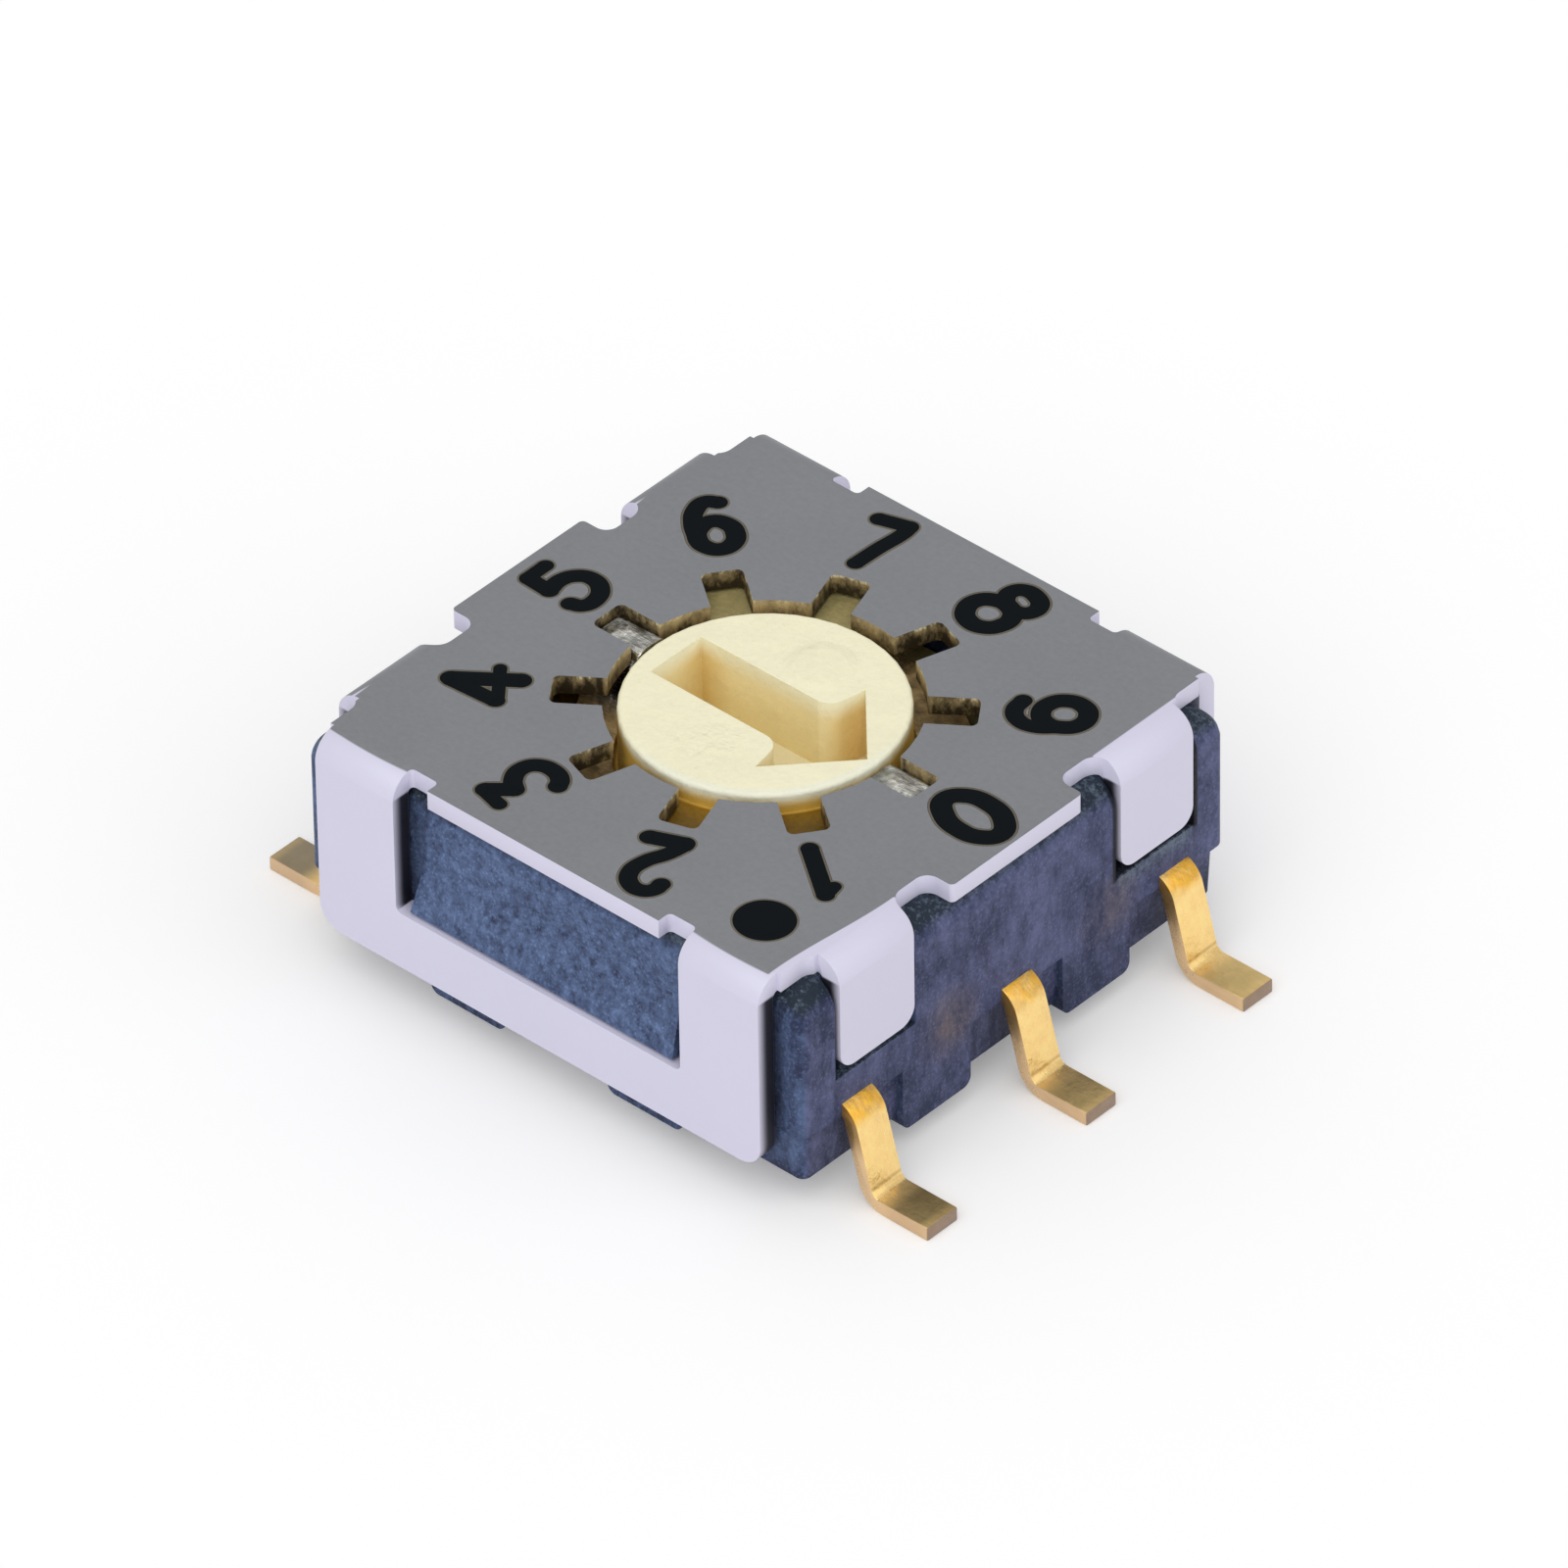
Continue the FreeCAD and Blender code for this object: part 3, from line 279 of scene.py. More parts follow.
class StudioSetup(bpy.types.PropertyGroup):
    """Camera, light and floor."""
    azimuth: bpy.props.FloatProperty(
        name="Azimuth", description="Camera's turn about the switch", subtype="ANGLE",
        default=math.radians(42.658))
    elevation: bpy.props.FloatProperty(
        name="Elevation", description="Camera's height angle", subtype="ANGLE",
        default=math.radians(38.529))
    roll: bpy.props.FloatProperty(
        name="Roll", description="Camera's turn about its own axis", subtype="ANGLE",
        default=math.radians(-0.942))
    distance: bpy.props.FloatProperty(
        name="Distance", description="Camera to the middle of the plate", unit="LENGTH",
        min=0, default=209.08 * MM)
    shift_right: bpy.props.FloatProperty(
        name="Right", description="Plate's middle to the right of the picture's",
        unit="LENGTH", default=-0.202 * MM)
    shift_up: bpy.props.FloatProperty(
        name="Up", description="Plate's middle above the picture's", unit="LENGTH",
        default=0.889 * MM)
    lens: bpy.props.FloatProperty(
        name="Lens", description="Focal length for a 36 mm sensor", min=1, default=450)
    floor_size: bpy.props.FloatProperty(
        name="Floor", description="Width of the floor", unit="LENGTH", min=0, default=0.6)
    sky: bpy.props.FloatProperty(
        name="Sky", description="Strength of the light from all round", min=0, default=0.62)
    key: bpy.props.FloatProperty(
        name="Key", description="Strength of the main lamp", min=0, default=1.0)


# Materials

class Flow:
    """Output socket of a material's node. Arithmetic on it adds Math nodes."""

    def __init__(self, finish, socket):
        self.finish = finish
        self.socket = socket

    def maths(self, operation, *values):
        """Math node on two or three values."""
        return self.finish.add(
            "ShaderNodeMath", {"operation": operation}, dict(enumerate(values)))

    def __add__(self, other):
        return self.maths("ADD", self, other)

    __radd__ = __add__

    def __sub__(self, other):
        return self.maths("SUBTRACT", self, other)

    def __rsub__(self, other):
        return self.maths("SUBTRACT", other, self)

    def __mul__(self, other):
        return self.maths("MULTIPLY", self, other)

    __rmul__ = __mul__

    def __pow__(self, other):
        return self.maths("POWER", self, other)

    def __neg__(self):
        return self.maths("MULTIPLY", self, -1.0)

    def __abs__(self):
        return self.maths("ABSOLUTE", self)

    def ramp(self, start, end):
        """Zero at start and one at end, smooth between them; start may be the larger."""
        return self.finish.add(
            "ShaderNodeMapRange", {"interpolation_type": "SMOOTHSTEP"},
            {"Value": self, "From Min": start, "From Max": end})


class Finish:
    """A material under construction."""

    def __init__(self, name):
        self.material = bpy.data.materials.new(name)
        self.material.use_nodes = True
        self.tree = self.material.node_tree
        self.shader = self.tree.nodes["Principled BSDF"]
        coordinates = self.tree.nodes.new("ShaderNodeTexCoord")
        place = Flow(self, coordinates.outputs["Object"])
        self.normal = Flow(self, coordinates.outputs["Normal"])
        self.place = self.add(
            "ShaderNodeVectorMath", {"operation": "SCALE"}, {0: place, "Scale": 1 / MM})

    def add(self, kind, settings=None, inputs=None, output=0):
        """Node of one kind: its settings first, then the values or links of its sockets."""
        node = self.tree.nodes.new(kind)
        for name, setting in (settings or {}).items():
            setattr(node, name, setting)
        for name, source in (inputs or {}).items():
            self.feed(node.inputs[name], source)
        return Flow(self, node.outputs[output])

    def feed(self, socket, source):
        """Link or value of one socket."""
        if isinstance(source, Flow):
            self.tree.links.new(source.socket, socket)
        elif socket.type == "RGBA" and not isinstance(source, float):
            socket.default_value = (*source[:3], 1)
        else:
            socket.default_value = source

    def axes(self, vector):
        """The three parts of a vector, as values."""
        node = self.tree.nodes.new("ShaderNodeSeparateXYZ")
        self.tree.links.new(vector.socket, node.inputs[0])
        return [Flow(self, output) for output in node.outputs]

    def noise(self, scale, detail=2.0, roughness=0.5, stretch=None):
        """Noise about its own mean, from about -0.5 to 0.5; scale is in waves per millimetre."""
        vector = self.place
        if stretch:
            vector = self.add(
                "ShaderNodeVectorMath", {"operation": "MULTIPLY"}, {0: vector, 1: stretch})
        return self.add("ShaderNodeTexNoise", {}, {
            "Vector": vector, "Scale": scale, "Detail": detail,
            "Roughness": roughness}) - 0.5

    def grains(self, scale, share):
        """One inside scattered grains that cover about a share of the surface, else zero."""
        distance = self.add("ShaderNodeTexVoronoi", {"feature": "F1"}, {
            "Vector": self.place, "Scale": scale})
        return distance.ramp(share, share * 0.5)

    def mix(self, factor, first, second):
        """Colour that goes from first to second."""
        # The node's colour sockets come after those for values and vectors
        return self.add(
            "ShaderNodeMix", {"data_type": "RGBA", "clamp_factor": True},
            {0: factor, 6: first, 7: second}, output=2)

    def shade(self, color, amount):
        """Colour made lighter or darker by an amount about zero."""
        return self.add(
            "ShaderNodeHueSaturation", {}, {"Color": color, "Value": amount + 1.0})

    def bump(self, height, depth):
        """Normal of a surface raised by height times depth, in metres."""
        return self.add("ShaderNodeBump", {}, {
            "Strength": 1.0, "Distance": depth, "Height": height})

    def finish(self, **sockets):
        """Set the shader's own sockets and hand the material over."""
        names = {
            "color": "Base Color", "rough": "Roughness", "metal": "Metallic",
            "normal": "Normal", "specular": "Specular IOR Level", "glow": "Emission Color"}
        for name, source in sockets.items():
            self.feed(self.shader.inputs[names[name]], source)
        return self.material


def from_spot(across, along, spot=(0.0, 0.0)):
    """Distance in the plane from a spot, or else from the middle, in millimetres."""
    right, ahead = across - spot[0], along - spot[1]
    return (right * right + ahead * ahead) ** 0.5


def sheet_finish(look):
    """Plated sheet: a flat grey plate and paler folds, both painted reflection, and slot walls
    darkened by painted shade.
    """
    work = Finish("plated_sheet")
    across, along, up = work.axes(work.place)
    facing_across, facing_along, facing_up = work.axes(work.normal)
    top = PLATE_TOP / MM
    high = COVER_HIGH / MM
    grain = work.noise(14, 4, 0.65)
    rolled = work.noise(6, 2, 0.5, stretch=(0.6, 7.0, 1.0))
    cloud = work.noise(0.7, 2, 0.5)
    plate = work.shade(look.plate, grain * 0.3 + rolled * 0.08 + cloud * 0.12)
    fold = work.shade(look.fold, work.noise(1.5) * 0.03)
    # The slots' walls are streaked; painted shade darkens them downwards, and painted glints
    # light their upper edges. Painted reflection makes them paler on the hole's own rim and
    # beside the near hump.
    reach = from_spot(across, along)
    on_rim = reach.ramp(HOLE_RADIUS + 0.06, HOLE_RADIUS + 0.02)
    by_hump = across.ramp(HUMP_START, HUMP_START + 0.2) * abs(along).ramp(0.4, 0.3)
    patches = work.noise(6, 4, 0.75, stretch=(1.0, 1.0, 0.6))
    pale = (patches * 2.6 - 0.02 + up.ramp(top - 0.2, top - 0.03) * 0.4
            + on_rim * 0.4 + by_hump * 0.3)
    painted_glint = up.ramp(top - 0.05, top - 0.015) * patches.ramp(0.0, 0.12) * (1.0 - on_rim * 0.5)
    walls = work.mix(painted_glint, work.mix(pale, look.cut, look.cut_pale), look.cut_glint)
    sides = work.mix(reach.ramp(SLOTS_END + 0.05, SLOTS_END - 0.05), fold, walls)
    # Painted shade: the cut faces of the near skirt and of the tabs lie in the plate's shade
    painted_shade = 0.0
    for outward, limit, facing in (
            (-along, high.y, facing_across), (abs(across), high.x, facing_along)):
        in_fold = outward.ramp(limit - SHEET - 0.02, limit - SHEET + 0.02)
        in_fold = in_fold * outward.ramp(limit + 0.04, limit - 0.14)
        painted_shade = in_fold * abs(facing).ramp(0.6, 0.8) + painted_shade
    painted_shade = painted_shade * up.ramp(top - SHEET, top - SHEET - 0.04)
    sides = work.mix(painted_shade, sides, look.shade)
    # Painted reflection: the plate's grey stops short of the near folds, more so by the near
    # corner, and runs over the far folds and the stretch between the tabs, while the near folds
    # stay pale
    level = facing_up.ramp(0.94, 0.975)
    slant = (-along - TONGUE_HALF).ramp(0.0, 1.7) * 0.13
    on_plate = level * (across + slant).ramp(high.x - 0.33, high.x - 0.36)
    on_tongue = level * abs(along).ramp(TONGUE_HALF, TONGUE_HALF - 0.05)
    on_far_fold = facing_up.ramp(0.4, 0.5) * (facing_across - facing_along).ramp(-0.1, -0.25)
    on_far_skirt = along.ramp(3.2, 3.3) * abs(facing_across).ramp(0.75, 0.6)
    grey = (on_plate + on_tongue + on_far_fold + on_far_skirt).ramp(0.0, 0.8)
    grey = grey * up.ramp(top - 0.2, top - 0.1)
    return work.finish(
        color=work.mix(grey, sides, plate),
        rough=0.5 + grain * 0.2,
        metal=grey * 0.25 + 0.1,
        normal=work.bump(grain + rolled * 0.5, 0.0015 * MM))


def base_finish(look):
    """Slate blue glass-filled plastic with pale grains and a fine moulded texture."""
    work = Finish("slate_plastic")
    across, along, up = work.axes(work.place)
    facing_along, facing_up = work.axes(work.normal)[1:]
    outward = abs(across)
    on_side = outward.ramp(SIDE_WALL - 0.1, SIDE_WALL)
    on_end = abs(along).ramp(END_WALL - 0.07, END_WALL)
    catch = on_end * outward.ramp(2.9, 2.6)
    elsewhere = 1.0 - catch
    facing_end = abs(facing_along).ramp(0.3, 0.8) * elsewhere + catch
    facing_up = facing_up.ramp(0.35, 0.75) * elsewhere
    # The catches are evenly grained, and the texture is bolder by the near corner
    grains = work.grains(18, 0.4)
    fine = work.noise(13, 5, 0.8)
    fibres = work.noise(6, 4, 0.75, stretch=(1.0, 1.0, 0.35))
    cloud = work.noise(1.3, 3, 0.6)
    grit = work.noise(8, 4, 0.75) * catch
    bold = along.ramp(-2.4, -3.1) * elsewhere
    texture = (fine * (1.5 - catch * 0.5) + grit * 1.4 + grains * (0.3 - catch * 0.1)
               + (fibres + cloud) * (bold * 0.5 - catch + 1.4))
    # Painted shade darkens the gaps round the tabs, and a painted highlight makes the edges of the
    # ledges below them pale
    from_tab = along - along.maths("SIGN") * TAB_MIDDLE
    beside = abs(from_tab)
    gap_shade = beside.ramp(TAB_HALF - 0.025, TAB_HALF) * beside.ramp(NOTCH_HALF + 0.035, NOTCH_HALF)
    gap_shade = gap_shade * on_side * up.ramp(0.9, 1.2)
    gap_shade = gap_shade * (up.ramp(LEDGE_TOP - 0.06, LEDGE_TOP) * 0.9 + from_tab.ramp(0.0, 0.2) * 0.3)
    under = abs(up - LEDGE_TOP).ramp(0.04, 0.02) * outward.ramp(SIDE_WALL + 0.06, SIDE_WALL + 0.03)
    gap_shade = gap_shade + under * beside.ramp(0.66, 0.64) * 0.9
    # Painted highlight on the edges of the ledges
    ledge_highlight = up.ramp(LEDGE_TOP - 0.3, LEDGE_TOP - 0.03) * beside.ramp(0.62, 0.56) * on_side
    ledge_highlight = ledge_highlight * up.ramp(LEDGE_TOP + 0.05, LEDGE_TOP + 0.01)
    # Painted shade darkens the end walls behind the skirts' edges
    leaning = outward + (up - CATCH_FOOT) * 0.1
    painted_shade = leaning.ramp(1.88, 1.94) * catch * (outward.ramp(1.9, 2.1) * 0.25 + 0.4)
    painted_shade = painted_shade + outward.ramp(3.36, 3.2) * on_end * elsewhere * 0.6
    # The faces darken towards the foot of the moulding, and painted light changes the upward faces
    # and the ledges' edges
    height = up.ramp(0.3, 1.7)
    pale = (texture + facing_up * (fine * 2.6 - 0.3) + ledge_highlight * (fine * 2.5 + 0.25) + height * 0.2
            - catch * 0.12 + along * 0.02 * elsewhere - bold * 0.06 + 0.26)
    # Painted light: the grains' tint changes with the way a face turns, and is brighter up the
    # catches
    tint = work.mix(facing_end, look.base_side, look.base_pale)
    tint = work.mix(catch * (up.ramp(1.4, 1.7) * 0.4 + 0.6), tint, look.base_catch)
    tint = work.mix(facing_up + ledge_highlight * 0.8, tint, look.base_top)
    # Painted reflection of the plating gleams on the wall beside the middle and the far one of the
    # near leads
    lead_reflection = 0.0
    for place in LEAD_GLEAMS:
        lead_reflection = from_spot(along, up, place).ramp(0.6, 0.1) + lead_reflection
    lead_reflection = lead_reflection * across.ramp(3.3, SIDE_WALL) * (cloud * 1.5 + 0.55)
    tint = work.mix(lead_reflection, tint, look.base_lead_reflection)
    # Painted light: upward faces are painted darker teal
    ground = work.mix(facing_up, look.base, look.base_dark)
    color = work.mix(pale + lead_reflection * 0.1, ground, tint)
    return work.finish(
        color=work.mix(gap_shade + painted_shade, color, look.base_gap_shade),
        rough=0.55 + fine * 0.3,
        specular=0.2,
        normal=work.bump(fine + fibres * 0.5 + grains * 0.3, 0.014 * MM))


def rotor_finish(look):
    """Cream moulded plastic, made deeper by painted shade in its recess and on its walls."""
    work = Finish("cream_plastic")
    across, along, up = work.axes(work.place)
    facing_up = work.axes(work.normal)[2].ramp(0.5, 0.8)
    top = ROTOR_TOP / MM
    reach = from_spot(across, along)
    soft = work.noise(2.5, 4, 0.6)
    fine = work.noise(14, 4, 0.7)
    # Painted shade deepens the recess downwards and in its corners, and painted light makes its
    # floor paler
    recess_shade = up.ramp(top - 0.03, top - 0.3)
    corner = (from_spot(across, along, TAIL_CORNER).ramp(0.5, 0.0) * 0.5
              + from_spot(across, along, BARB_CORNER).ramp(0.45, 0.05) * 0.5
              + across.ramp(1.0, 1.5) * 0.16)
    pocket = from_spot(across, along, POCKET_CORNER).ramp(0.4, 0.25)
    pocket = pocket * up.ramp(top - 0.01, top - 0.04)
    color = work.mix(recess_shade, look.rotor, look.rotor_recess_shade)
    color = work.mix(recess_shade * corner, color, look.rotor_wall_shade)
    color = work.mix(pocket * 0.8, color, look.rotor_recess_shade)
    color = work.mix(recess_shade * facing_up * 0.55, color, look.rotor)
    # A painted highlight makes the head's rim milky on the near side, and painted shade turns its
    # round wall to amber
    near = (across * NEAR_WAY[0] + along * NEAR_WAY[1]).ramp(0.3, 1.3)
    near_rim_highlight = near * reach.ramp(1.44, 1.54) * up.ramp(top - 0.1, top - 0.04)
    color = work.mix(near_rim_highlight, color, look.rotor_rim_highlight)
    # Painted shade turns the head's round wall amber downwards
    wall = reach.ramp(HEAD_RADIUS - 0.05, HEAD_RADIUS - 0.02) * up.ramp(top - 0.04, top - 0.2)
    color = work.mix(wall, color, look.rotor_wall_shade)
    # Lobes under the slots, amber with painted shade and paler under the far slots
    lobe = work.mix(along.ramp(-0.5, 0.5), look.lobe_near_shade, look.lobe_far_shade)
    lobe = work.shade(lobe, soft * 0.8 + fine * 0.6 + reach.ramp(2.1, 1.6) * 0.35
                      - across.ramp(0.8, 1.4) * 0.2 - 0.05)
    outside = reach.ramp(HEAD_RADIUS, HEAD_RADIUS + 0.05) * up.ramp(top - 0.15, top - 0.2)
    color = work.mix(outside, color, lobe)
    # A moulding pin's flat disc and a rougher patch on the top
    disc = from_spot(across, along, PIN_MARK).ramp(0.45, 0.28) * up.ramp(top - 0.02, top - 0.005)
    patch = from_spot(across, along, GATE_MARK).ramp(0.6, 0.2) * work.noise(6, 3, 0.6)
    return work.finish(
        color=work.shade(color, soft * 0.1 + fine * 0.12),
        rough=0.45 + fine * 0.15,
        specular=0.3,
        normal=work.bump(fine + soft * 3.0 + disc * 2.4 + patch * 4.0, 0.01 * MM))


def lead_finish(look):
    """Plated lead: bright on the upper run, duller on the foot, bare at its cut end."""
    work = Finish("plated_lead")
    across, along, up = work.axes(work.place)
    outward = abs(across)
    tip = LEAD_TIP / MM
    streak = work.noise(7, 3, 0.6, stretch=(1.0, 3.0, 1.0))
    fine = work.noise(14, 3, 0.6)
    blotch = work.noise(5, 3, 0.6)
    edge = abs(work.axes(work.normal)[1]).ramp(0.5, 0.8)
    knee = up.ramp(0.95, 1.15)
    low = up.ramp(0.3, 0.19)
    on_foot = low * outward.ramp(tip - 0.72, tip - 0.42)
    near_tip = outward.ramp(tip - 0.16, tip - 0.03)
    bare = outward.ramp(tip - 0.02, tip - 0.006)
    color = work.mix(knee * (blotch * 3.0 + 0.8), look.gold, look.knee)
    # Painted reflection: the feet are lighter along the rows and greyer on the far row
    foot = work.mix(across.ramp(-3.0, -4.0), look.foot, look.foot_far_reflection)
    foot = work.shade(foot, along * 0.14)
    color = work.mix(on_foot * (blotch * 0.3 + 1.0) - near_tip * 0.3, color, foot)
    # Painted dark reflection on the lead sides near the base
    side = work.mix(up.ramp(0.55, 0.95), look.edge, look.edge_dark_reflection)
    color = work.mix(edge * 0.8, color, side)
    color = work.mix(bare, color, look.cut)
    # The broad faces are uneven, with painted shade along the crease in the lower bend
    crease_shade = abs(up - HEEL).ramp(0.035, 0.0) * (1.0 - edge) * 0.3
    uneven = streak * 0.2 + fine * (knee * 0.5 + 0.15) + blotch * 0.35
    relief = streak * 0.6 + fine * (knee * 0.5 + 0.2) + blotch * 2.0
    return work.finish(
        color=work.shade(color, uneven * (1.0 - edge * 0.7) - crease_shade),
        rough=0.28 + streak * 0.15 + on_foot * 0.12 + knee * 0.1,
        metal=1.0 - bare * 0.5 - edge * 0.4 - low * 0.28,
        normal=work.bump(relief * (1.0 - edge * 0.8), 0.008 * MM))


def steel_finish(look):
    """Rolled bright steel with fine scratches, and painted reflection in brown on the flat of the
    ring.
    """
    work = Finish("rolled_steel")
    up = work.axes(work.place)[2]
    streak = work.noise(12, 3, 0.6, stretch=(1.0, 6.0, 1.0))
    blotch = work.noise(3.5, 2, 0.5)
    flat = up.ramp(RING_FLAT + 0.25, RING_FLAT)
    color = work.mix(flat + blotch * 0.3, look.steel, look.ring_floor_reflection)
    # The humps' strong mottling is partly painted glints and reflected dark bands
    return work.finish(
        color=work.shade(color, streak * 1.2 + blotch * 3.2 + 0.05),
        rough=0.16 + streak * 0.2 + flat * 0.4,
        metal=1.0 - flat * 0.8,
        normal=work.bump(streak * 2.0 + blotch * 20.0, 0.008 * MM))


def contact_finish(look):
    """Spring brass of the hidden moving contact."""
    work = Finish("contact_brass")
    streak = work.noise(9, 3, 0.6, stretch=(5.0, 1.0, 1.0))
    return work.finish(
        color=work.shade(look.gold, streak * 0.3),
        rough=0.35 + streak * 0.2,
        metal=1.0,
        normal=work.bump(streak, 0.002 * MM))


def ink_finish(name, color):
    """Matt printing ink with a slightly uneven surface."""
    work = Finish(name)
    uneven = work.noise(11, 3, 0.6)
    return work.finish(
        color=work.shade(color, uneven * 0.3),
        rough=0.7 + uneven * 0.2,
        specular=0.06,
        normal=work.bump(uneven, 0.001 * MM))


def floor_finish():
    """Pale floor that looks white to the camera and keeps its shadow."""
    work = Finish("white_floor")
    seen = work.add("ShaderNodeLightPath", output="Is Camera Ray")
    mirrored = work.add("ShaderNodeLightPath", output="Is Glossy Ray")
    glow = work.mix(seen + mirrored, (0.0, 0.0, 0.0), (0.2, 0.2, 0.2))
    work.shader.inputs["Emission Strength"].default_value = 1.0
    return work.finish(color=(0.86, 0.86, 0.86), rough=0.9, specular=0.0, glow=glow)


# Modelling

def choose(*objects):
    """Select only these objects, with the last one active."""
    bpy.ops.object.select_all(action="DESELECT")
    for item in objects:
        item.select_set(True)
    bpy.context.view_layer.objects.active = objects[-1]


def settle(piece):
    """Put the piece's place, turn and size into its mesh."""
    choose(piece)
    bpy.ops.object.transform_apply(location=True, rotation=True, scale=True)


def smooth_copy(node, name, rim):
    """Copy of a CAD node with its seams closed and its edges slightly rounded."""
    choose(frame["nodes"][node])
    bpy.ops.object.duplicate()
    piece = bpy.context.object
    piece.name = name
    piece.data.name = name
    del piece["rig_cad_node"]
    piece.data.materials.clear()
    bpy.ops.object.mode_set(mode="EDIT")
    bpy.ops.mesh.select_all(action="SELECT")
    bpy.ops.mesh.remove_doubles(threshold=SEAM)
    bpy.ops.mesh.dissolve_limited(angle_limit=SAME_PLANE)
    bpy.ops.object.mode_set(mode="OBJECT")
    if rim > 0:
        bevel = piece.modifiers.new("rim", "BEVEL")
        bevel.width = rim
        bevel.segments = 2
        bevel.limit_method = "ANGLE"
        bevel.angle_limit = CREASE
        bpy.ops.object.modifier_apply(modifier="rim")
    bpy.ops.object.shade_smooth_by_angle(angle=CREASE)
    weighted = piece.modifiers.new("flat_faces", "WEIGHTED_NORMAL")
    weighted.keep_sharp = True
    bpy.ops.object.modifier_apply(modifier="flat_faces")
    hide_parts(node)
    return piece


def level_top(piece):
    """Shade a copy's flat upward faces level right up to their rounded edges."""
    choose(piece)
    bpy.ops.object.mode_set(mode="EDIT")
    bpy.ops.mesh.select_mode(type="FACE")
    bpy.ops.mesh.select_all(action="DESELECT")
    bpy.ops.object.mode_set(mode="OBJECT")
    for face in piece.data.polygons:
        face.select = face.normal.z > UPRIGHT and len(face.vertices) > 4
    bpy.ops.object.mode_set(mode="EDIT")
    bpy.ops.mesh.set_normals_from_faces(keep_sharp=True)
    bpy.ops.object.mode_set(mode="OBJECT")


def dress(piece, material, body):
    """Give a piece its material, the body that it rides on and its finish's slot."""
    piece.data.materials.clear()
    piece.data.materials.append(material)
    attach(piece, body)


# Strokes of the digits in millimetres, read upright with the middle at zero.
# Each stroke is its width and the points that its centre line runs through,
# and a stroke whose last point is its first is a closed loop.
DIGITS = {
    0: [(0.255, [(0.06, 0.455), (0.23, 0.33), (0.287, 0.07), (0.2, -0.22), (0.0, -0.385),
                 (-0.19, -0.26), (-0.25, 0.03), (-0.16, 0.31), (0.06, 0.455)])],
    1: [(0.21, [(0.06, 0.43), (0.06, -0.375)]),
        (0.175, [(0.05, 0.425), (-0.055, 0.31)])],
    2: [(0.215, [(-0.27, 0.335), (-0.24, 0.44), (-0.12, 0.51), (0.04, 0.45), (0.12, 0.27),
                 (0.05, 0.05), (-0.12, -0.16), (-0.23, -0.36)]),
        (0.235, [(-0.22, -0.385), (0.17, -0.345)])],
    3: [(0.19, [(-0.09, 0.355), (0.2, 0.375)]),
        (0.24, [(0.2, 0.355), (0.05, 0.1)]),
        (0.225, [(0.04, 0.09), (0.2, 0.02), (0.315, -0.14), (0.28, -0.32), (0.1, -0.425),
                 (-0.07, -0.4), (-0.145, -0.33)])],
    4: [(0.25, [(0.09, 0.435), (0.11, -0.315)]),
        (0.22, [(0.06, 0.43), (-0.26, -0.085)]),
        (0.16, [(-0.28, -0.11), (0.3, -0.07)])],
    5: [(0.195, [(0.185, 0.403), (-0.1, 0.4)]),
        (0.22, [(-0.1, 0.385), (-0.115, 0.07)]),
        (0.225, [(-0.115, 0.08), (0.1, 0.11), (0.27, 0.03), (0.345, -0.12), (0.28, -0.31),
                 (0.08, -0.41), (-0.07, -0.37), (-0.13, -0.25)])],
    6: [(0.235, [(0.085, 0.235), (0.245, 0.14), (0.29, -0.01), (0.235, -0.19), (0.085, -0.27),
                 (-0.075, -0.19), (-0.13, -0.03), (-0.075, 0.14), (0.085, 0.235)]),
        (0.225, [(-0.13, -0.03), (-0.125, 0.24), (-0.05, 0.47), (0.08, 0.585), (0.215, 0.545)])],
    7: [(0.215, [(-0.16, 0.42), (0.2, 0.42)]),
        (0.205, [(0.205, 0.4), (0.185, 0.29), (0.045, -0.05), (-0.08, -0.39)])],
    8: [(0.225, [(-0.066, 0.447), (0.09, 0.4), (0.145, 0.28), (0.09, 0.16), (-0.066, 0.107),
                 (-0.22, 0.16), (-0.277, 0.28), (-0.22, 0.4), (-0.066, 0.447)]),
        (0.24, [(-0.06, 0.107), (0.11, 0.04), (0.17, -0.13), (0.1, -0.31), (-0.09, -0.39),
                (-0.27, -0.31), (-0.336, -0.15), (-0.25, 0.03), (-0.06, 0.107)])],
    9: [(0.235, [(-0.054, 0.51), (0.12, 0.43), (0.175, 0.25), (0.12, 0.08), (-0.054, 0.0),
                 (-0.22, 0.08), (-0.283, 0.25), (-0.22, 0.43), (-0.054, 0.51)]),
        (0.215, [(0.18, 0.22), (0.19, -0.05), (0.1, -0.22), (-0.07, -0.285), (-0.245, -0.21)])],
}


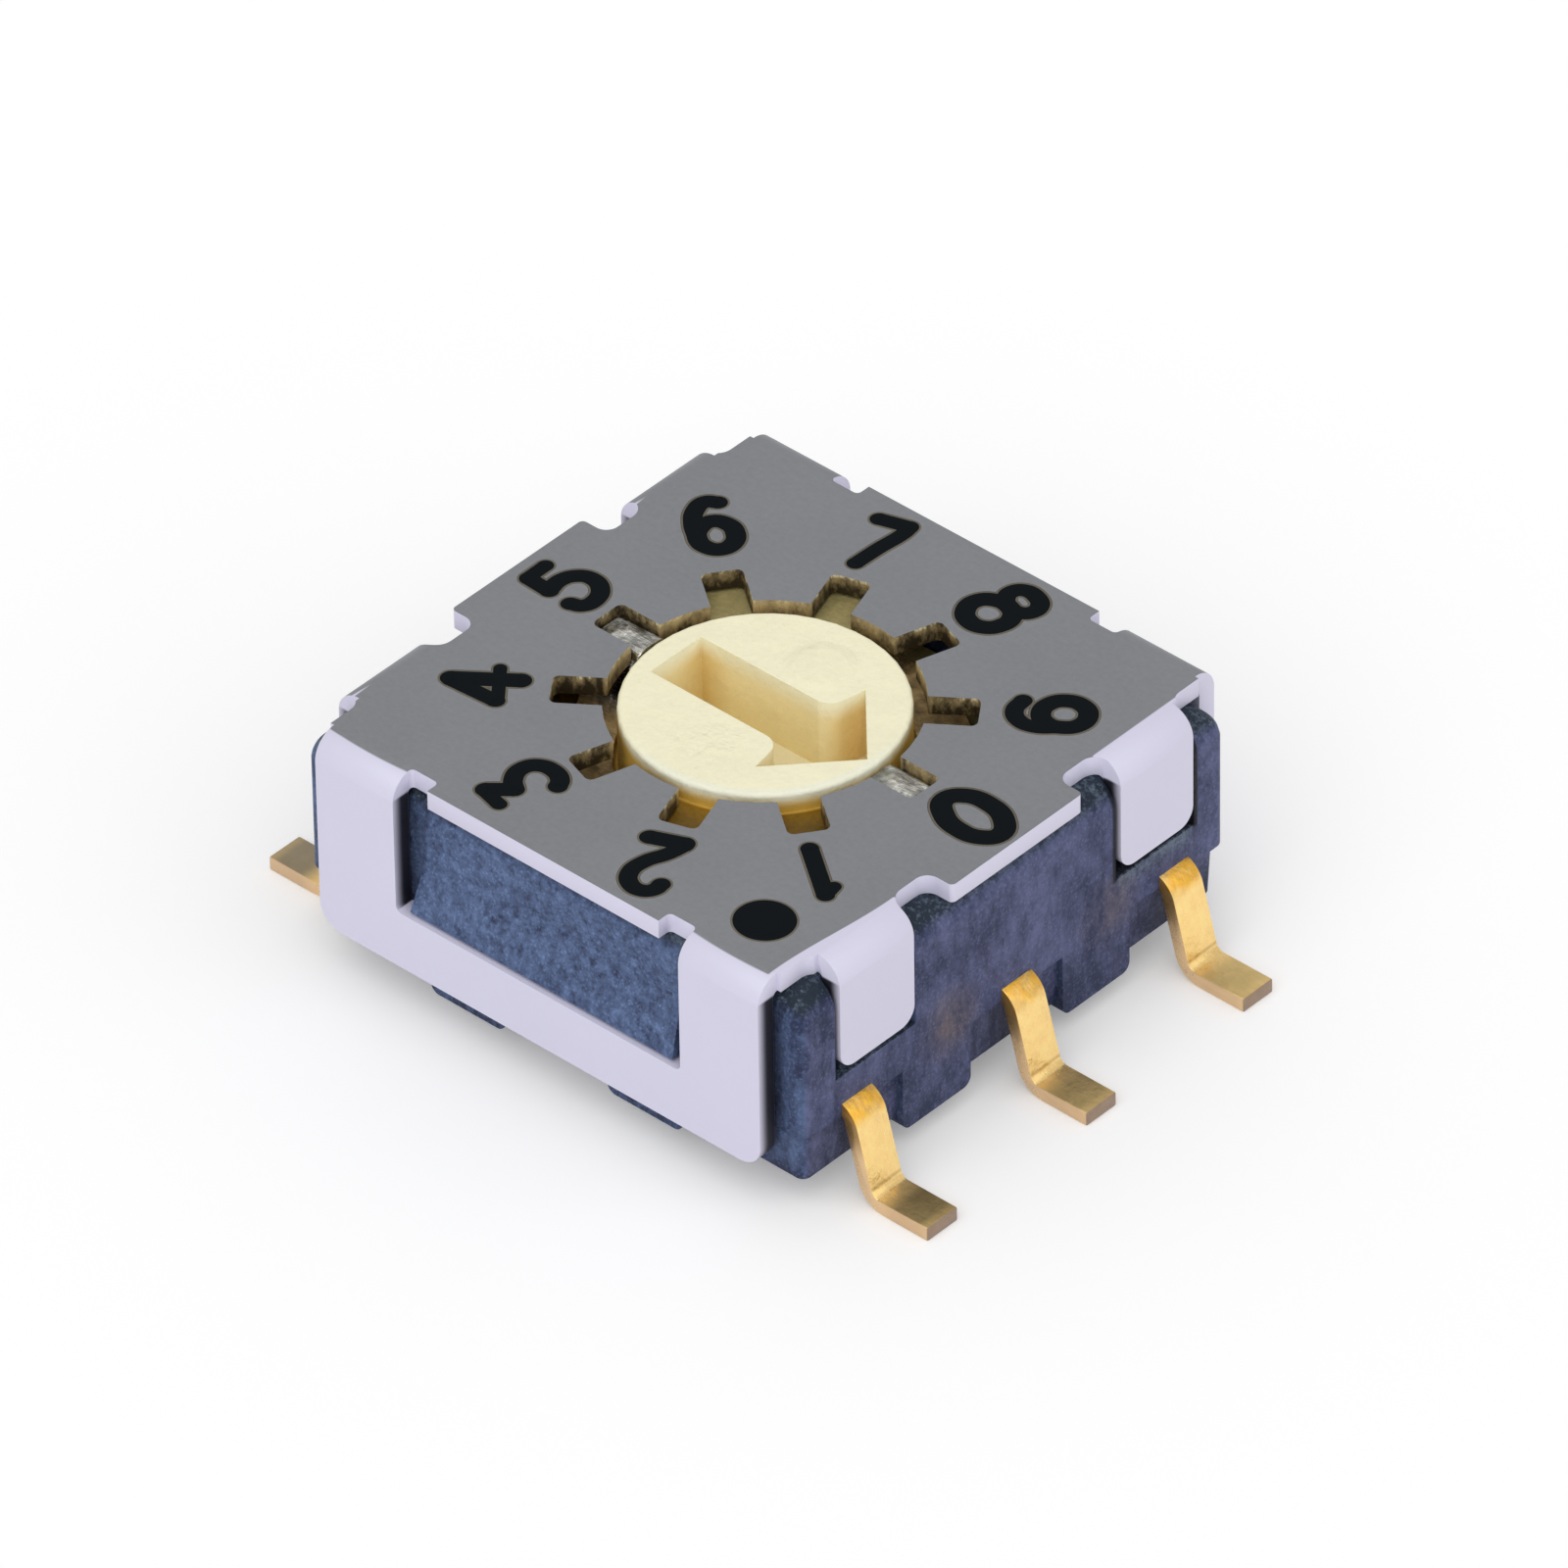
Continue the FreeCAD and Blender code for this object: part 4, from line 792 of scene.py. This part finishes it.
def brushed(strokes, extra, height):
    """Flat rounded strokes as one mesh, widened by extra and domed to a height."""
    bpy.ops.curve.primitive_bezier_curve_add()
    line = bpy.context.object
    line.data.splines.clear()
    line.data.resolution_u = 6
    line.data.bevel_depth = 1.0
    line.data.bevel_resolution = 5
    ends = []
    for width, points in strokes:
        closed = points[0] == points[-1]
        if closed:
            points = points[:-1]
        else:
            ends += [(width, points[0]), (width, points[-1])]
        spline = line.data.splines.new("BEZIER")
        spline.use_cyclic_u = closed
        spline.bezier_points.add(len(points) - 1)
        for knot, (right, up) in zip(spline.bezier_points, points):
            knot.co = (right * MM, up * MM, 0)
            knot.radius = width * MM / 2 + extra
            knot.handle_left_type = "AUTO"
            knot.handle_right_type = "AUTO"
    choose(line)
    bpy.ops.object.convert(target="MESH")
    parts = [bpy.context.object]
    for width, (right, up) in ends:
        bpy.ops.mesh.primitive_uv_sphere_add(
            segments=28, ring_count=14, radius=width * MM / 2 + extra,
            location=(right * MM, up * MM, 0))
        parts.append(bpy.context.object)
    choose(*parts[1:], parts[0])
    if len(parts) > 1:
        bpy.ops.object.join()
    printed = bpy.context.object
    widest = max(width for width, points in strokes) * MM / 2 + extra
    printed.scale = (1, 1, height / widest)
    settle(printed)
    bpy.ops.object.shade_smooth()
    return printed


def print_layers(name, layers, turn, place):
    """Join the ink and its rim into one printed piece and put it on the plate."""
    for layer, material in layers:
        layer.data.materials.clear()
        layer.data.materials.append(material)
    choose(*[layer for layer, material in reversed(layers)])
    bpy.ops.object.join()
    piece = bpy.context.object
    piece.name = name
    piece.data.name = name
    piece.rotation_euler.z = turn
    piece.location = (*place, PLATE_TOP)
    settle(piece)
    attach(piece, "housing")


# Operators

class SwitchCover(bpy.types.Operator):
    """Folded sheet cover."""
    bl_idname = "switch.cover"
    bl_label = "Cover"

    def execute(self, context):
        look = context.scene.sheet_look
        sheet = smooth_copy("cover", "sheet_cover", look.rim)
        level_top(sheet)
        dress(sheet, sheet_finish(look), "housing")
        return {"FINISHED"}


class SwitchBase(bpy.types.Operator):
    """Moulded base."""
    bl_idname = "switch.base"
    bl_label = "Base"

    def execute(self, context):
        look = context.scene.moulded_look
        dress(smooth_copy("base", "moulded_base", look.rim), base_finish(look),
              "housing")
        return {"FINISHED"}


class SwitchRotor(bpy.types.Operator):
    """Cream rotor with its arrow recess."""
    bl_idname = "switch.rotor"
    bl_label = "Rotor"

    def execute(self, context):
        look = context.scene.moulded_look
        dress(smooth_copy("rotor", "arrow_rotor", look.rim), rotor_finish(look),
              "rotor_unit")
        return {"FINISHED"}


class SwitchRing(bpy.types.Operator):
    """Detent ring seen through the slots."""
    bl_idname = "switch.ring"
    bl_label = "Detent ring"

    def execute(self, context):
        look = context.scene.metal_look
        dress(smooth_copy("detent_spring", "humped_ring", look.rim / 2), steel_finish(look),
              "rotor_unit")
        return {"FINISHED"}


class SwitchContact(bpy.types.Operator):
    """Moving contact under the rotor."""
    bl_idname = "switch.contact"
    bl_label = "Moving contact"

    def execute(self, context):
        look = context.scene.metal_look
        dress(smooth_copy("contact_wiper", "leaf_contact", look.rim / 2), contact_finish(look),
              "rotor_unit")
        return {"FINISHED"}


class SwitchLeads(bpy.types.Operator):
    """Five terminals with their plated leads."""
    bl_idname = "switch.leads"
    bl_label = "Leads"

    def execute(self, context):
        look = context.scene.metal_look
        plating = lead_finish(look)
        for code in ("one", "two", "four", "eight", "common"):
            lead = smooth_copy("terminal_" + code, "lead_" + code, look.rim)
            dress(lead, plating, "housing")
        return {"FINISHED"}


class SwitchDial(bpy.types.Operator):
    """Ten printed digits round the slots."""
    bl_idname = "switch.dial"
    bl_label = "Dial"

    def execute(self, context):
        dial = context.scene.dial_print
        ink = ink_finish("dial_ink", dial.ink)
        edge = ink_finish("dial_ink_edge", dial.edge)
        for digit, strokes in DIGITS.items():
            bearing = -digit * math.tau / len(DIGITS)
            place = (dial.radius * math.cos(bearing), dial.radius * math.sin(bearing))
            layers = [(brushed(strokes, 0, dial.thickness), ink),
                      (brushed(strokes, dial.bleed, dial.thickness * RIM_HEIGHT), edge)]
            print_layers(f"digit_{digit}", layers, bearing - math.pi / 2, place)
        return {"FINISHED"}


class SwitchDot(bpy.types.Operator):
    """Printed index dot by the first lead."""
    bl_idname = "switch.dot"
    bl_label = "Index dot"

    def execute(self, context):
        dial = context.scene.dial_print
        layers = []
        for extra, height, name, color in (
                (0, dial.thickness, "dot_ink", dial.ink),
                (dial.bleed, dial.thickness * RIM_HEIGHT, "dot_ink_edge", dial.edge)):
            half = dial.dot_size / 2 + extra
            bpy.ops.mesh.primitive_uv_sphere_add(segments=64, ring_count=24, radius=half)
            dot = bpy.context.object
            dot.scale = (1, DOT_OVAL, height / half)
            settle(dot)
            bpy.ops.object.shade_smooth()
            layers.append((dot, ink_finish(name, color)))
        print_layers("index_dot", layers, 0, (dial.dot_x, dial.dot_y))
        return {"FINISHED"}


class SwitchStage(bpy.types.Operator):
    """Floor, lamps, world and camera."""
    bl_idname = "switch.stage"
    bl_label = "Stage"

    def execute(self, context):
        setup = context.scene.studio_setup
        self.lay_floor(setup)
        self.hang_lamps(setup)
        self.light_world(context.scene, setup)
        self.place_camera(context.scene, setup)
        context.scene.view_settings.view_transform = "Standard"
        return {"FINISHED"}

    def lay_floor(self, setup):
        """Plain pale floor under the solder feet."""
        bpy.ops.mesh.primitive_plane_add(size=setup.floor_size)
        floor = bpy.context.object
        floor.name = "floor"
        floor.data.materials.append(floor_finish())

    def hang_lamps(self, setup):
        """Soft key lamp from the left and behind the camera, and a fill from the right."""
        for name, share, soft, azimuth, elevation in LAMPS:
            bpy.ops.object.light_add(type="SUN")
            lamp = bpy.context.object
            lamp.name = name
            lamp.data.energy = setup.key * share
            lamp.data.angle = math.radians(soft)
            toward = self.bearing(math.radians(azimuth), math.radians(elevation))
            lamp.rotation_euler = toward.to_track_quat("Z", "Y").to_euler()

    def light_world(self, scene, setup):
        """Even light from all round, white to the camera and in reflections."""
        world = bpy.data.worlds.new("studio")
        scene.world = world
        world.use_nodes = True
        nodes = world.node_tree.nodes
        links = world.node_tree.links
        light = nodes["Background"]
        light.inputs["Color"].default_value = (1, 1, 1, 1)
        light.inputs["Strength"].default_value = setup.sky
        seen = nodes.new("ShaderNodeBackground")
        seen.inputs["Color"].default_value = (1, 1, 1, 1)
        seen.inputs["Strength"].default_value = 1.0
        path = nodes.new("ShaderNodeLightPath")
        choice = nodes.new("ShaderNodeMixShader")
        links.new(path.outputs["Is Camera Ray"], choice.inputs[0])
        links.new(light.outputs[0], choice.inputs[1])
        links.new(seen.outputs[0], choice.inputs[2])
        links.new(choice.outputs[0], nodes["World Output"].inputs[0])

    def bearing(self, azimuth, elevation):
        """Direction from the switch towards a lamp or the camera."""
        flat = math.cos(elevation)
        return Vector((math.sin(azimuth) * flat, -math.cos(azimuth) * flat, math.sin(elevation)))

    def place_camera(self, scene, setup):
        """Camera looking down on the corner by the dot, aimed near the plate's middle."""
        back = self.bearing(setup.azimuth, setup.elevation)
        right = Vector((math.cos(setup.azimuth), math.sin(setup.azimuth), 0))
        turned = Matrix((right, back.cross(right), back))
        turned = Matrix.Rotation(-setup.roll, 3, "Z") @ turned
        stand = turned.transposed() @ Vector((-setup.shift_right, -setup.shift_up, setup.distance))
        bpy.ops.object.camera_add(
            location=stand + Vector((0, 0, PLATE_TOP)),
            rotation=turned.transposed().to_euler())
        camera = bpy.context.object
        camera.data.lens = setup.lens
        camera.data.sensor_width = 36
        camera.data.clip_start = setup.distance / 20
        camera.data.clip_end = setup.distance * 20
        scene.camera = camera


class SWITCH_PT_panel(bpy.types.Panel):
    """Sizes, colours and steps of the switch."""
    bl_idname = "SWITCH_PT_panel"
    bl_label = "Rotary code switch"
    bl_space_type = "VIEW_3D"
    bl_region_type = "UI"
    bl_category = "Switch"

    def draw(self, context):
        for group in SETTINGS:
            box = self.layout.box()
            for name in SETTINGS[group].__annotations__:
                box.prop(getattr(context.scene, group), name)
        for operator in STEPS:
            self.layout.operator(operator.bl_idname)


SETTINGS = {
    "sheet_look": SheetLook,
    "moulded_look": MouldedLook,
    "metal_look": MetalLook,
    "dial_print": DialPrint,
    "studio_setup": StudioSetup,
}
STEPS = [SwitchStage, SwitchCover, SwitchBase, SwitchRotor, SwitchRing, SwitchContact,
         SwitchLeads, SwitchDial, SwitchDot]


def register():
    """Add the classes and their settings to Blender."""
    for item in [*SETTINGS.values(), *STEPS, SWITCH_PT_panel]:
        bpy.utils.register_class(item)
    for name, group in SETTINGS.items():
        setattr(bpy.types.Scene, name, bpy.props.PointerProperty(type=group))


def unregister():
    """Take the classes and their settings out again."""
    for name in SETTINGS:
        delattr(bpy.types.Scene, name)
    for item in reversed([*SETTINGS.values(), *STEPS, SWITCH_PT_panel]):
        bpy.utils.unregister_class(item)


def main():
    """Run every step in order."""
    register()
    for operator in STEPS:
        group, step = operator.bl_idname.split(".")
        getattr(getattr(bpy.ops, group), step)()


if __name__ == "__main__":
    main()
